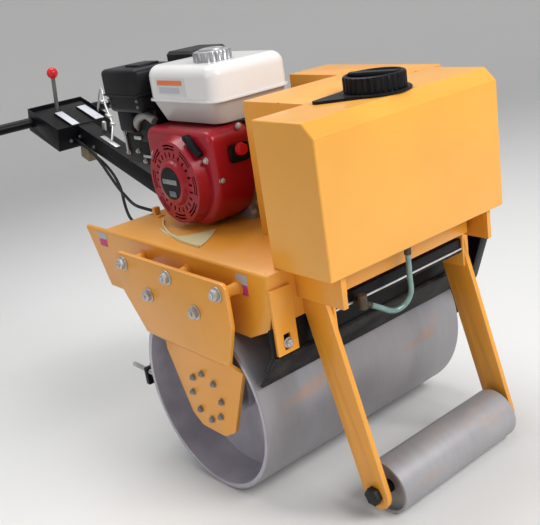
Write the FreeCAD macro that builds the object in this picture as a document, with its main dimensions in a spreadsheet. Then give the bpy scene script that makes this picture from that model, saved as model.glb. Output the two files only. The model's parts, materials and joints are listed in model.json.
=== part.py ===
# Walk-behind road roller: one wide vibrating drum under a welded deck, a small guide
# roller on two arms in front, a water tank, a petrol engine and a handle pole behind.
# The machine is drawn level, with the drum axle at the origin, X forward, Y left and
# Z up, in millimetres. At the end every piece gets the same Placement, the attitude in
# which the machine parks: it leans forward until the guide roller meets the ground.
import FreeCAD, Part
import math
import os
import re

import Sketcher
from FreeCAD import Placement, Rotation, Vector

doc = FreeCAD.newDocument("RoadRoller")

# Driving dimensions, in millimetres and degrees. X is measured forward from the drum
# axle, Z up from it, and a width or "half" across the machine from its middle plane. A
# text is the sheet's own formula, for a size that follows others by a named step.
SIZES = [
    # drum and its hubs
    ("drum_radius", 213),
    ("drum_half", 300),
    ("drum_wall", 12),
    ("drum_bevel", 2),
    ("web_inset", 95),
    ("web_wall", 12),
    ("drum_boss_radius", 62),
    ("drum_boss_length", 20),
    ("journal_radius", 35),
    ("running_fit", 0.05),
    ("hub_flange_radius", 78),
    ("hub_flange_wall", 12),
    ("hub_body_radius", 52),
    ("hub_gap", 10),
    # carrier plates beside the drum
    ("frame_inset", 20),
    ("frame_half", "=drum_half - frame_inset"),
    ("deck_gap", 115),
    ("deck_level", "=drum_radius + deck_gap"),
    ("mount_length", 40),
    ("plate_wall", 10),
    ("leg_inset", 10),
    ("plate_drop", 13),
    ("shoulder_drop", 103),
    ("plate_corner", 15),
    ("mount_pitch", 172),
    ("plate_rear_edge", 33),
    ("plate_rear", "=mount_pitch + plate_rear_edge"),
    ("plate_front_edge", 23),
    ("plate_front", "=mount_pitch + plate_front_edge"),
    ("joggle_drop", 74),
    ("joggle_top", "=drum_radius - joggle_drop"),
    ("joggle_run", 40),
    ("joggle_low", "=joggle_top - joggle_run"),
    ("leg_rim_gap", 79),
    ("leg_top_half", "=drum_radius - leg_rim_gap"),
    ("leg_low_half", 74),
    ("leg_low", 62),
    ("leg_foot_half", 42),
    ("leg_foot", 85),
    ("joggle_kink", 20),
    ("leg_front_low", 8),
    ("leg_front_middle", 6),
    ("leg_front_top", 30),
    ("mount_middle", 4),
    ("mount_high_drop", 36),
    ("mount_low_drop", 93),
    ("mount_radius", 27),
    # drive cover outside the left carrier plate
    ("drive_cover_wall", 4),
    ("drive_cover_rim", 28),
    ("drive_cover_front", 300),
    ("drive_cover_rear", 80),
    ("drive_cover_top_rear", 40),
    ("drive_cover_drop", 28),
    ("drive_cover_knee", 12),
    ("drive_cover_knee_rise", 75),
    ("drive_cover_waist", 49),
    ("drive_cover_waist_drop", 25),
    ("drive_cover_toe", 104),
    ("drive_cover_toe_drop", 128),
    ("drive_cover_corner", 30),
    # deck and frame sides
    ("deck_wall", 6),
    ("deck_front", 262),
    ("deck_rear", 340),
    ("cross_x", 262),
    ("member_gap", 5),
    ("flange_foot", 225),
    ("skirt_wall", 8),
    ("fold_radius", 7),
    ("skirt_drop", 143),
    ("skirt_rear_foot", 356),
    ("ear_rear", 425),
    ("nose_foot", 183),
    ("nose_knee", 247),
    ("nose_knee_drop", 114),
    ("nose_drop", 67),
    ("drum_gap", 12),
    # front shelf under the tank
    ("shelf_front", 388),
    ("shelf_inset", 65),
    ("shelf_half", "=frame_half - shelf_inset"),
    ("shelf_wall", 12),
    ("shelf_drop", 63),
    ("rail_wall", 8),
    ("rail_drop", 36),
    ("valve_plate_inner", 60),
    # guide roller and its arms
    ("guide_radius", 54),
    ("guide_wall", 6),
    ("guide_x", 399),
    ("guide_drop", 124),
    ("guide_disc_inset", 12),
    ("guide_disc_wall", 10),
    ("arm_wall", 12),
    ("arm_half", 32),
    ("arm_lean", 16.3),
    ("arm_end_gap", 29.926),
    ("arm_length", "=(deck_level + guide_drop) / cos(arm_lean) - arm_end_gap"),
    ("arm_top_gap", 12),
    ("guide_side_gap", 16),
    ("guide_half", "=shelf_half - shelf_wall - arm_wall - guide_side_gap"),
    ("axle_radius", 12.5),
    ("axle_hole_gap", 0.3),
    ("nut_radius", 19),
    ("nut_height", 13),
    # scrapers
    ("scraper_inset", 10),
    ("scraper_half", "=drum_half - scraper_inset"),
    ("scraper_wall", 8),
    ("scraper_top", 222),
    ("scraper_fold", 165),
    ("scraper_bend", 3),
    ("blade_angle", 24),
    ("blade_heel_angle", 26),
    ("blade_reach", 32),
    ("blade_rise", 26),
    ("blade_wall", 8),
    ("blade_gap", 5.5),
    ("blade_tip_drop", 3),
    ("rear_blade_gap", 6.5),
    ("hanger_inset", 10),
    ("hanger_side", "=frame_half - skirt_wall - hanger_inset"),
    ("hanger_wall", 8),
    ("hanger_depth", 40),
    ("hanger_drop", 50),
    ("hanger_overlap", 100),
    ("hanger_seat", 14),
    ("rear_blade_level", 22),
    ("rod_radius", 6),
    ("rod_rear", 352),
    ("rod_level", 32),
    ("rod_overlap", 14),
    ("bracket_proud", 4),
    ("bracket_outer", "=frame_half + bracket_proud"),
    ("bracket_width", 51),
    ("bracket_inner", "=bracket_outer - bracket_width"),
    ("bracket_drop", 28),
    ("bracket_foot", 168),
    ("bracket_edge", 8),
    ("bracket_slot_half", 8),
    ("bracket_slot_top", 208),
    # water tank, cap and spray bar
    ("tank_rear", 241),
    ("tank_front", 398),
    ("tank_inset", 34),
    ("tank_half", "=frame_half - tank_inset"),
    ("tank_height", 280),
    ("tank_chamfer_x", 26),
    ("tank_chamfer_z", 25),
    ("tank_wall", 4),
    ("neck_x", 310),
    ("cap_radius", 60),
    ("cap_wall", 10),
    ("cap_bar_half", 8),
    ("cap_height", 30),
    ("cap_bar_proud", 4),
    ("cap_bar_sink", 2),
    ("cap_flange_radius", 68),
    ("cap_flange_height", 6),
    ("spray_bar_x", 330),
    ("spray_bar_top", 262),
    ("spray_bar_leg", 30),
    ("spray_bar_wall", 4),
    ("spray_pipe_radius", 9),
    ("tap_x", 350),
    ("tap_side", 132),
    ("tap_level", 241),
    ("tap_radius", 9),
    ("tap_stub_radius", 8),
    ("tap_height", 28),
    ("tap_drop", 12),
    ("outlet_x", 371),
    ("outlet_side", 21),
    ("outlet_radius", 7),
    ("outlet_length", 24),
    # belt guard
    ("guard_rear", 105),
    ("guard_step", 60),
    ("guard_right", 121),
    ("guard_left", "=frame_half - skirt_wall"),
    ("guard_inner", 150),
    ("guard_height", 281),
    ("guard_wall", 3),
    ("gearbox_rear", 90),
    ("gearbox_long", 120),
    ("gearbox_wide", 160),
    ("gearbox_tall", 140),
    ("gearbox_side", 20),
    ("pulley_cover_rear", 225),
    ("pulley_cover_height", 212),
    ("shaft_hole_radius", 30),
    # engine
    ("crank_x", 145),
    ("crank_rise", 109),
    ("case_right", 60),
    ("case_left", 95),
    ("case_front", 95),
    ("case_rise", 92),
    ("case_base", 12),
    ("case_lip", 8),
    ("case_toe", 12),
    ("case_shoulder", 50),
    ("case_cover_radius", 62),
    ("case_cover_depth", 20),
    ("rest_wall", 10),
    ("rest_side", 40),
    ("rest_half", 30),
    ("cylinder_seat", 85),
    ("cylinder_half", 58),
    ("cylinder_lean", 25),
    ("barrel_half", 42),
    ("head_proud", 6),
    ("fin_trim", 4),
    ("barrel_end", 150),
    ("head_end", 186),
    ("rocker_cover_end", 210),
    ("fin_wall", 4),
    ("fin_pitch", 9),
    ("shaft_radius", 12.5),
    ("shaft_end", 200),
    ("fan_right", 160),
    ("fan_half", 126),
    ("fan_drop", 104),
    ("fan_rise", 112),
    ("fan_corner", 100),
    ("fan_shoulder", 26),
    ("fan_rim", 14),
    ("cover_wall", 2.5),
    ("recoil_radius", 100),
    ("recoil_rim", 8),
    ("recoil_depth", 24),
    ("recoil_wall", 3),
    ("recoil_hub_radius", 46),
    ("recoil_hub_depth", 10),
    ("recoil_hub_slope", 6),
    ("vent_inner", 57),
    ("vent_outer", 68),
    ("vent_half", 2.5),
    ("vent_count", 24),
    ("louvre_radius", 74),
    ("louvre_wide", 4),
    ("louvre_pitch", 7),
    ("louvre_half_angle", 15),
    ("louvre_count", 8),
    ("pull_ring", 108),
    ("pull_angle", 40.5),
    ("pull_half", 31),
    ("pull_half_wide", 7),
    ("pull_depth", 16),
    ("pull_corner", 6),
    ("pull_bevel", 3),
    ("switch_side", 92),
    ("switch_rise", 55),
    ("switch_half_wide", 26),
    ("switch_half_tall", 20),
    ("switch_corner", 9),
    ("switch_depth", 8),
    ("knob_rise", 63),
    ("knob_collar_radius", 14),
    ("knob_collar_wall", 3),
    ("knob_radius", 12),
    ("knob_depth", 13),
    ("fuel_rear", 270),
    ("fuel_front", 15),
    ("fuel_right", 135),
    ("fuel_left", 77),
    ("fuel_gap", 7),
    ("fuel_lower", 52),
    ("fuel_upper", 72),
    ("fuel_taper", 18),
    ("fuel_corner", 30),
    ("fuel_crown", 26),
    ("seam_lip", 5),
    ("seam_wall", 4),
    ("fuel_cap_x", 105),
    ("fuel_cap_side", 57),
    ("fuel_cap_radius", 42),
    ("fuel_cap_height", 26),
    ("cleaner_rear", 412),
    ("cleaner_front", 284),
    ("cleaner_right", 150),
    ("cleaner_left", 30),
    ("cleaner_rise", 83),
    ("cleaner_base", 48),
    ("cleaner_cover", 96),
    ("cleaner_corner", 16),
    ("cleaner_bevel", 8),
    ("cleaner_gap", 4),
    ("muffler_rear", 400),
    ("muffler_front", 284),
    ("muffler_right", 12),
    ("muffler_left", 122),
    ("muffler_rise", 138),
    ("muffler_height", 113),
    ("muffler_corner", 14),
    ("muffler_bevel", 7),
    ("exhaust_radius", 14),
    ("exhaust_reach", 20),
    ("carburettor_rear", 20),
    ("carburettor_front", 16),
    ("carburettor_wide", 56),
    ("carburettor_tall", 34),
    ("bowl_radius", 17),
    ("bowl_side", 30),
    ("bowl_drop", 62),
    # handle pole, control box and bar
    ("pole_base_drop", 28),
    ("pole_base_level", "=deck_level - pole_base_drop"),
    ("pole_rise", 17.4),
    ("pole_side", 50),
    ("pole_wall", 3),
    ("pole_length", 557),
    ("pole_plate_half", 65),
    ("pole_plate_wall", 8),
    ("pole_plate_gap", 10),
    ("box_length", 182),
    ("box_half", 90),
    ("box_low", 43),
    ("box_high", 27),
    ("box_wall", 2),
    ("box_recess", 12),
    ("bar_set_back", 20),
    ("bar_drop", 10),
    ("bar_radius", 15),
    ("bar_half", 330),
    ("bar_wall", 2.5),
    ("grip_length", 125),
    ("grip_radius", 18),
    ("grip_overhang", 4),
    ("lever_radius", 4),
    ("lever_length", 128),
    ("lever_back", 90),
    ("lever_side", 40),
    ("lever_ball_radius", 12),
    ("throttle_back", 36),
    ("throttle_side", 35),
    ("throttle_half", 6),
    ("throttle_wall", 4),
    ("throttle_rise", 40),
    ("lip_x", 19),
    ("lip_side", 145),
    ("lip_radius", 390),
    ("lip_wall", 3),
    ("lip_height", 24),
    ("lip_start", 233),
    ("lip_sweep", 40),
    ("stop_post", 12),
    ("stop_wide", 16),
    ("stop_rise", 22),
    ("stop_foot", 26),
    ("stop_foot_wall", 4),
    ("grommet_radius", 9),
    ("grommet_length", 10),
    ("cable_radius", 4),
    ("hose_radius", 5.5),
]

sheet = doc.addObject("Spreadsheet::Sheet", "Sizes")
for row, (alias, value) in enumerate(SIZES, start=1):
    sheet.set(f"A{row}", alias)
    sheet.set(f"B{row}", str(value))
    sheet.setAlias(f"B{row}", alias)
doc.recompute()

WORDS = re.compile(r"\b(" + "|".join(alias for alias, value in SIZES) + r")\b")


def size(alias):
    return float(sheet.get(alias))


def bound(text):
    """Turn plain size words into references to the sheet's cells."""
    return WORDS.sub(r"Sizes.\1", str(text))


def bind(item, **texts):
    for prop, text in texts.items():
        item.setExpression(prop.replace("__", "."), bound(text))
    return item


def origin_plane(body, plane):
    for feature in body.Origin.OriginFeatures:
        if feature.Role == plane:
            return feature
    raise ValueError(plane)


# How far a sketch on each origin plane sits along its own normal, for a span (low, high)
# along the machine's axis. The XZ plane's normal points along -Y.
PLANES = {
    "XY_Plane": lambda low, high: low,
    "XZ_Plane": lambda low, high: f"-({high})",
    "YZ_Plane": lambda low, high: low,
}


def sketch_on(body, name, plane, offset="0"):
    sketch = body.newObject("Sketcher::SketchObject", name)
    sketch.AttachmentSupport = [(origin_plane(body, plane), "")]
    sketch.MapMode = "FlatFace"
    sketch.setExpression("AttachmentOffset.Base.z", bound(offset))
    return sketch


def fix_point(sketch, geometry, end, across, up):
    """Hold a sketch point at two sheet expressions, measured from the sketch's origin."""
    for kind, text in (("DistanceX", across), ("DistanceY", up)):
        number = sketch.addConstraint(Sketcher.Constraint(kind, -1, 1, geometry, end, 1.0 + geometry))
        sketch.setExpression(f"Constraints[{number}]", bound(text))


def draw_outline(sketch, corners):
    """Closed outline through (across, up) corners, each a pair of sheet expressions."""
    first = sketch.GeometryCount
    count = len(corners)
    spots = [Vector(100 * math.cos(2 * math.pi * k / count), 100 * math.sin(2 * math.pi * k / count), 0)
             for k in range(count)]
    for k in range(count):
        sketch.addGeometry(Part.LineSegment(spots[k], spots[(k + 1) % count]), False)
    for k in range(count):
        following = first + (k + 1) % count
        sketch.addConstraint(Sketcher.Constraint("Coincident", first + k, 2, following, 1))
    for k, (across, up) in enumerate(corners):
        fix_point(sketch, first + k, 1, across, up)


def draw_circle(sketch, across, up, radius):
    number = sketch.addGeometry(Part.Circle(Vector(10, 10, 0), Vector(0, 0, 1), 5), False)
    fix_point(sketch, number, 3, across, up)
    held = sketch.addConstraint(Sketcher.Constraint("Radius", number, 5))
    sketch.setExpression(f"Constraints[{held}]", bound(radius))


def new_body(name):
    return doc.addObject("PartDesign::Body", name)


def pad(name, plane, corners, low, high, holes=(), cutouts=()):
    """Plate or block: an outline with round holes and cut-outs, padded from low to high."""
    body = new_body(name)
    sketch = sketch_on(body, name + "_outline", plane, PLANES[plane](low, high))
    draw_outline(sketch, corners)
    for hole in holes:
        draw_circle(sketch, *hole)
    for cutout in cutouts:
        draw_outline(sketch, cutout)
    feature = body.newObject("PartDesign::Pad", name + "_pad")
    feature.Profile = sketch
    bind(feature, Length=f"({high}) - ({low})")
    doc.recompute()
    return body


def turn(name, corners, across="0", up="0", axis="V_Axis"):
    """Ring or drum turned about a line along Y that passes through (across, up)."""
    body = new_body(name)
    sketch = sketch_on(body, name + "_profile", "XY_Plane", up)
    sketch.setExpression("AttachmentOffset.Base.x", bound(across))
    draw_outline(sketch, corners)
    feature = body.newObject("PartDesign::Revolution", name + "_turned")
    feature.Profile = sketch
    feature.ReferenceAxis = (sketch, [axis])
    feature.Angle = 360
    doc.recompute()
    return body


def turned_up(name, corners, across, side, level):
    """Knob turned about an upright line, from a half profile of (across, up) corners."""
    body = new_body(name)
    sketch = sketch_on(body, name + "_profile", "XZ_Plane", f"-({side})")
    bind(sketch, AttachmentOffset__Base__x=across, AttachmentOffset__Base__y=level)
    draw_outline(sketch, corners)
    feature = body.newObject("PartDesign::Revolution", name + "_turned")
    feature.Profile = sketch
    feature.ReferenceAxis = (sketch, ["V_Axis"])
    feature.Angle = 360
    doc.recompute()
    return body


def round_edges(body, radius, chosen, kind="Fillet"):
    """Fillet or chamfer the body's edges that the test picks."""
    tip = body.Tip
    names = [f"Edge{k}" for k, edge in enumerate(tip.Shape.Edges, start=1) if chosen(edge)]
    if not names:
        raise ValueError("no edge to round on " + body.Name)
    feature = body.newObject("PartDesign::" + kind, body.Name + "_" + kind.lower() + str(len(body.Group)))
    feature.Base = (tip, names)
    bind(feature, **{"Radius" if kind == "Fillet" else "Size": radius})
    doc.recompute()
    return body


def along(edge, axis):
    """True for a straight edge that runs along the given axis."""
    if len(edge.Vertexes) != 2 or edge.Curve.TypeId != "Part::GeomLine":
        return False
    run = edge.Vertexes[1].Point - edge.Vertexes[0].Point
    return abs(abs(run.normalize().dot(axis)) - 1) < 1e-6


X_AXIS, Y_AXIS, Z_AXIS = Vector(1, 0, 0), Vector(0, 1, 0), Vector(0, 0, 1)
TURNS = {"x": Rotation(Y_AXIS, 90), "y": Rotation(X_AXIS, -90), "z": Rotation()}


def place(item, spot):
    for axis, text in zip("xyz", spot):
        item.setExpression("Placement.Base." + axis, bound(text))
    return item


def rod(name, radius, length, spot, axis="y"):
    """Cylinder whose low end is centred on spot, running along the given axis."""
    item = doc.addObject("Part::Cylinder", name)
    item.Placement.Rotation = TURNS[axis]
    bind(item, Radius=radius, Height=length)
    return place(item, spot)


def block(name, x_span, y_span, z_span):
    item = doc.addObject("Part::Box", name)
    for prop, (low, high) in zip(("Length", "Width", "Height"), (x_span, y_span, z_span)):
        bind(item, **{prop: f"({high}) - ({low})"})
    return place(item, (x_span[0], y_span[0], z_span[0]))


def joined(name, pieces):
    item = doc.addObject("Part::MultiFuse", name)
    item.Shapes = pieces
    return item


def cut(name, base, tool):
    item = doc.addObject("Part::Cut", name)
    item.Base = base
    item.Tool = tool
    return item


def grouped(name, pieces):
    item = doc.addObject("Part::Compound", name)
    item.Links = pieces
    return item


NODES = []


def node(label, item, at=None):
    """Register a finished sub-part under its file name, with the place it is built at."""
    item.Label = label
    NODES.append((item, at or Placement()))
    return item


def negative(corners):
    """The same outline on the other side of the sketch's vertical axis."""
    return [(f"-({across})", up) for across, up in reversed(corners)]


def side_span(side, inner, outer):
    """Span along Y of a piece between inner and outer on the right (-1) or left (1)."""
    return (f"-({outer})", f"-({inner})") if side < 0 else (inner, outer)


SIDES = {"right": -1, "left": 1}


# Drum: a rolled shell with a web welded well inside each end and a bearing boss on it.
def drum_profile():
    inner = "drum_radius - drum_wall"
    web_outer = "drum_half - web_inset"
    web_inner = "drum_half - web_inset - web_wall"
    boss_end = "drum_half - web_inset + drum_boss_length"
    bore = "journal_radius + running_fit"
    half = [
        ("drum_radius", "drum_half"),
        (inner, "drum_half"),
        (inner, web_outer),
        ("drum_boss_radius", web_outer),
        ("drum_boss_radius", boss_end),
        (bore, boss_end),
        (bore, web_inner),
        (inner, web_inner),
    ]
    mirrored = [(across, f"-({up})") for across, up in reversed(half)]
    return half + mirrored


drum = turn("drum_turned", drum_profile())
round_edges(drum, "drum_bevel", lambda edge: edge.Curve.TypeId == "Part::GeomCircle"
            and abs(edge.Curve.Radius - size("drum_radius")) < 1e-3, "Chamfer")
node("drum", drum)

# Carrier plates: each is one thick plate that hangs outside the drum from five rubber
# mounts and steps inward, past the drum's rim, to a leg that holds the hub.
plate_outer = "(frame_half + mount_length + plate_wall)"
leg_outer = "(drum_half - leg_inset)"
plate_top = "(deck_level - plate_drop)"
plate_shoulder = "(deck_level - shoulder_drop)"
PLATE_OUTLINE = [
    ("-plate_rear", plate_top),
    ("-plate_rear", plate_shoulder),
    ("-leg_top_half", "joggle_top"),
    ("-leg_top_half", "joggle_low - joggle_kink"),
    ("-leg_low_half", "-leg_low"),
    ("-leg_foot_half", "-leg_foot"),
    ("leg_foot_half", "-leg_foot"),
    ("leg_low_half + leg_front_low", "-leg_low"),
    ("leg_top_half + leg_front_middle", "joggle_low - joggle_kink"),
    ("leg_top_half + leg_front_top", "joggle_top"),
    ("plate_front", plate_shoulder),
    ("plate_front", plate_top),
]
PLATE_STEP = [
    (plate_outer, plate_top),
    (plate_outer, "joggle_top"),
    (leg_outer, "joggle_low"),
    (leg_outer, "-leg_foot"),
    (f"{leg_outer} - plate_wall", "-leg_foot"),
    (f"{leg_outer} - plate_wall", "joggle_low"),
    (f"{plate_outer} - plate_wall", "joggle_top"),
    (f"{plate_outer} - plate_wall", plate_top),
]
# Rubber mounts, one row per mount: steps of half the pitch from the middle, level.
MOUNTS = [
    (-2, "deck_level - mount_high_drop"),
    (0, "deck_level - mount_high_drop"),
    (2, "deck_level - mount_high_drop"),
    (-1, "deck_level - mount_low_drop"),
    (1, "deck_level - mount_low_drop"),
]
for word, side in SIDES.items():
    step = PLATE_STEP if side > 0 else negative(PLATE_STEP)
    stepped = pad("plate_step_" + word, "YZ_Plane", step, "-plate_rear", "plate_front")
    outline = pad("plate_outline_" + word, "XZ_Plane", PLATE_OUTLINE, f"-{plate_outer}", plate_outer)
    round_edges(outline, "plate_corner", lambda edge: along(edge, Y_AXIS))
    plate = doc.addObject("Part::MultiCommon", "plate_common_" + word)
    plate.Shapes = [stepped, outline]
    node("carrier_plate_" + word, plate)

    low, high = side_span(side, "frame_half", "frame_half + mount_length")
    mounts = []
    for number, (steps, level) in enumerate(MOUNTS, start=1):
        spot = (f"mount_pitch * {steps / 2} - mount_middle", low, level)
        mounts.append(rod(f"mount_{word}_{number}", "mount_radius", f"({high}) - ({low})", spot))
    node("rubber_mounts_" + word, grouped("mounts_" + word, mounts))

    flange_face = f"{leg_outer} - plate_wall"
    body_face = f"{leg_outer} - plate_wall - hub_flange_wall"
    boss_face = "drum_half - web_inset + drum_boss_length"
    parts = [
        ("hub_flange_" + word, "hub_flange_radius", body_face, flange_face),
        ("hub_body_" + word, "hub_body_radius", boss_face + " + hub_gap", body_face),
        ("hub_journal_" + word, "journal_radius", "drum_half - web_inset - web_wall", boss_face + " + hub_gap"),
    ]
    rods = []
    for name, radius, inner, outer in parts:
        low, high = side_span(side, inner, outer)
        rods.append(rod(name, radius, f"({high}) - ({low})", ("0", low, "0")))
    node("hub_" + word, joined("hub_joined_" + word, rods))

# Drive cover: a black sheet pan on the outside of the left carrier plate, over the belt
# that runs down to the drum. Its front edge is turned inward beside the drum's rim.
cover_top = "(deck_level - drive_cover_drop)"
COVER_FRONT = [
    ("drive_cover_front", cover_top),
    ("drive_cover_front - drive_cover_knee", "joggle_top + drive_cover_knee_rise"),
    ("drive_cover_front - drive_cover_waist", "joggle_top - drive_cover_waist_drop"),
    ("drive_cover_front - drive_cover_toe", "joggle_top - drive_cover_toe_drop"),
]
COVER_REST = [
    ("leg_low_half", "-leg_foot"),
    ("-leg_foot_half", "-leg_foot"),
    ("-drive_cover_rear", "leg_foot_half"),
    ("drive_cover_top_rear", cover_top),
]
cover_outer = f"{plate_outer} + drive_cover_wall"
cover_face = pad("drive_cover_face", "XZ_Plane", COVER_FRONT + COVER_REST, plate_outer, cover_outer)
round_edges(cover_face, "drive_cover_corner",
            lambda edge: along(edge, Y_AXIS) and edge.BoundBox.ZMax < size("joggle_top"))
COVER_RIM = COVER_FRONT[:3] + [(f"{across} - drive_cover_wall", level) for across, level in COVER_FRONT[2::-1]]
cover_rim = pad("drive_cover_rim_strip", "XZ_Plane", COVER_RIM, f"{cover_outer} - drive_cover_rim", plate_outer)
node("drive_cover", joined("drive_cover_joined", [cover_face, cover_rim]))

# Deck: a folded sheet between the two side plates, with a flange at each end and a
# cross member over the back of the drum.
inner_half = "frame_half - skirt_wall"
under_deck = "deck_level - deck_wall"
skirt_foot = "(deck_level - skirt_drop)"
member_foot = f"{skirt_foot} + member_gap"
deck_parts = [
    block("deck_top", ("-deck_rear", "deck_front"), (f"-({inner_half})", inner_half), (under_deck, "deck_level")),
    block("deck_front_flange", ("deck_front - deck_wall", "deck_front"),
          (f"-({inner_half})", inner_half), ("flange_foot", under_deck)),
    block("deck_cross_member", ("-cross_x", "deck_wall - cross_x"),
          (f"-({inner_half})", inner_half), (member_foot, under_deck)),
    block("deck_rear_flange", ("-deck_rear", "deck_wall - deck_rear"),
          (f"-({inner_half})", inner_half), (member_foot, under_deck)),
]
node("deck", joined("deck_joined", deck_parts))

SKIRT = [
    ("-ear_rear", "deck_level"),
    ("-skirt_rear_foot", skirt_foot),
    ("nose_foot", skirt_foot),
    ("nose_knee", "deck_level - nose_knee_drop"),
    ("deck_front", "deck_level - nose_drop"),
    ("deck_front", "deck_level"),
]
for word, side in SIDES.items():
    low, high = side_span(side, inner_half, "frame_half")
    sheet_side = pad("skirt_sheet_" + word, "XZ_Plane", SKIRT, low, high)
    outer_face = side * size("frame_half")
    round_edges(sheet_side, "fold_radius", lambda edge: abs(edge.BoundBox.Center.y - outer_face) < 1e-3
                and (along(edge, X_AXIS) or along(edge, Z_AXIS)) and edge.BoundBox.ZMax > size("deck_level") - 1e-3)
    arch = rod("skirt_arch_" + word, "drum_radius + drum_gap", f"({high}) - ({low}) + 2", ("0", low + " - 1", "0"))
    node("frame_side_" + word, cut("skirt_cut_" + word, sheet_side, arch))

# Front shelf: two gussets and a rail that carry the tank ahead of the deck.
shelf_inner = "shelf_half - shelf_wall"
shelf_parts = []
for word, side in SIDES.items():
    low, high = side_span(side, shelf_inner, "shelf_half")
    shelf_parts.append(block("gusset_" + word, ("deck_front", "shelf_front"), (low, high),
                             ("deck_level - shelf_drop", "deck_level")))
rail_span = ("shelf_front - rail_wall", "shelf_front")
shelf_parts.append(block("shelf_rail", rail_span, (f"-({shelf_inner})", shelf_inner),
                         ("deck_level - rail_drop", "deck_level")))
shelf_parts.append(block("valve_plate", rail_span, ("valve_plate_inner", shelf_inner),
                         ("deck_level - shelf_drop", "deck_level")))
node("front_shelf", joined("shelf_joined", shelf_parts))

# Guide roller arms: flat bars with a round lower end, welded to the gussets' inner side.
for word, side in SIDES.items():
    low, high = side_span(side, "shelf_half - shelf_wall - arm_wall", shelf_inner)
    wall = f"({high}) - ({low})"
    bar = block("arm_bar_" + word, ("-arm_half", "arm_half"), (low, high), ("0", "arm_length"))
    eye = rod("arm_eye_" + word, "arm_half", wall, ("0", low, "0"))
    lean = Placement(Vector(), Rotation(Y_AXIS, -size("arm_lean")))
    arm = joined("arm_joined_" + word, [bar, eye])
    arm.Placement = lean
    place(arm, ("guide_x", "0", "-guide_drop"))
    hole = rod("arm_hole_" + word, "axle_radius + axle_hole_gap", wall + " + 2",
               ("guide_x", low + " - 1", "-guide_drop"))
    behind = block("arm_trim_" + word, ("-deck_rear", "deck_front"), (low + " - 1", high + " + 1"),
                   ("0", "deck_level + arm_length"))
    above = block("arm_top_trim_" + word, ("0", "shelf_front"), (low + " - 1", high + " + 1"),
                  ("deck_level - arm_top_gap", "deck_level + arm_length"))
    tools = joined("arm_tools_" + word, [hole, behind, above])
    node("roller_arm_" + word, cut("arm_cut_" + word, arm, tools))

# Guide roller: a steel tube closed by two inset discs, turning on a through axle.
guide_inner = "guide_radius - guide_wall"
guide_bore = "axle_radius + running_fit"
guide_half = [
    ("guide_radius", "guide_half"),
    (guide_inner, "guide_half"),
    (guide_inner, "guide_half - guide_disc_inset"),
    (guide_bore, "guide_half - guide_disc_inset"),
    (guide_bore, "guide_half - guide_disc_inset - guide_disc_wall"),
    (guide_inner, "guide_half - guide_disc_inset - guide_disc_wall"),
]
guide_profile = guide_half + [(across, f"-({up})") for across, up in reversed(guide_half)]
node("guide_roller", turn("guide_turned", guide_profile, across="guide_x", up="-guide_drop"))

axle_end = "shelf_half - shelf_wall + nut_height"
axle_parts = [rod("axle_bar", "axle_radius", f"2 * ({axle_end})", ("guide_x", f"-({axle_end})", "-guide_drop"))]
for word, side in SIDES.items():
    low, high = side_span(side, shelf_inner, axle_end)
    nut = doc.addObject("Part::Prism", "axle_nut_" + word)
    nut.Polygon = 6
    nut.Placement.Rotation = TURNS["y"]
    bind(nut, Circumradius="nut_radius", Height=f"({high}) - ({low})")
    axle_parts.append(place(nut, ("guide_x", low, "-guide_drop")))
node("guide_axle", joined("axle_joined", axle_parts))

# Front scraper: a folded steel holder across the machine, hung from two slotted
# brackets, with a blade on its slope that ends just clear of the drum.
edge_x = "(drum_radius + blade_gap) * cos(blade_angle)"
edge_z = "(drum_radius + blade_gap) * sin(blade_angle)"
heel_x = "(drum_radius + blade_gap) * cos(blade_heel_angle) + blade_reach"
heel_z = "(drum_radius + blade_gap) * sin(blade_heel_angle) + blade_rise"
HOLDER = [
    ("deck_front", "scraper_top"),
    ("deck_front - scraper_wall", "scraper_top"),
    ("deck_front - scraper_wall", "scraper_fold + scraper_bend"),
    (f"{heel_x} - scraper_wall", f"{heel_z} + scraper_wall / 2"),
    (heel_x, heel_z),
    ("deck_front", "scraper_fold"),
]
BLADE = [
    (edge_x, edge_z),
    (f"{edge_x} + blade_wall", f"{edge_z} - blade_tip_drop"),
    (f"{heel_x} + blade_wall", f"{heel_z} - blade_wall / 2"),
    ("deck_front + blade_wall", "scraper_fold - blade_wall / 2"),
    ("deck_front", "scraper_fold"),
    (heel_x, heel_z),
]
node("front_scraper_holder", pad("scraper_holder", "XZ_Plane", HOLDER, "-scraper_half", "scraper_half"))
node("front_scraper_blade", pad("scraper_blade", "XZ_Plane", BLADE, "-scraper_half", "scraper_half"))

brackets = []
for word, side in SIDES.items():
    low, high = side_span(side, "bracket_inner", "bracket_outer")
    middle = f"(({low}) + ({high})) / 2"
    bracket_top = "deck_level - bracket_drop"
    outline = [(low, bracket_top), (low, "bracket_foot"), (high, "bracket_foot"), (high, bracket_top)]
    slot = [
        (f"{middle} - bracket_slot_half", "bracket_foot + bracket_edge"),
        (f"{middle} + bracket_slot_half", "bracket_foot + bracket_edge"),
        (f"{middle} + bracket_slot_half", "bracket_slot_top"),
        (f"{middle} - bracket_slot_half", "bracket_slot_top"),
    ]
    brackets.append(pad("slot_bracket_" + word, "YZ_Plane", outline, "deck_front", "deck_front + skirt_wall",
                        cutouts=[slot]))
node("front_scraper_brackets", grouped("brackets_front", brackets))

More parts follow.
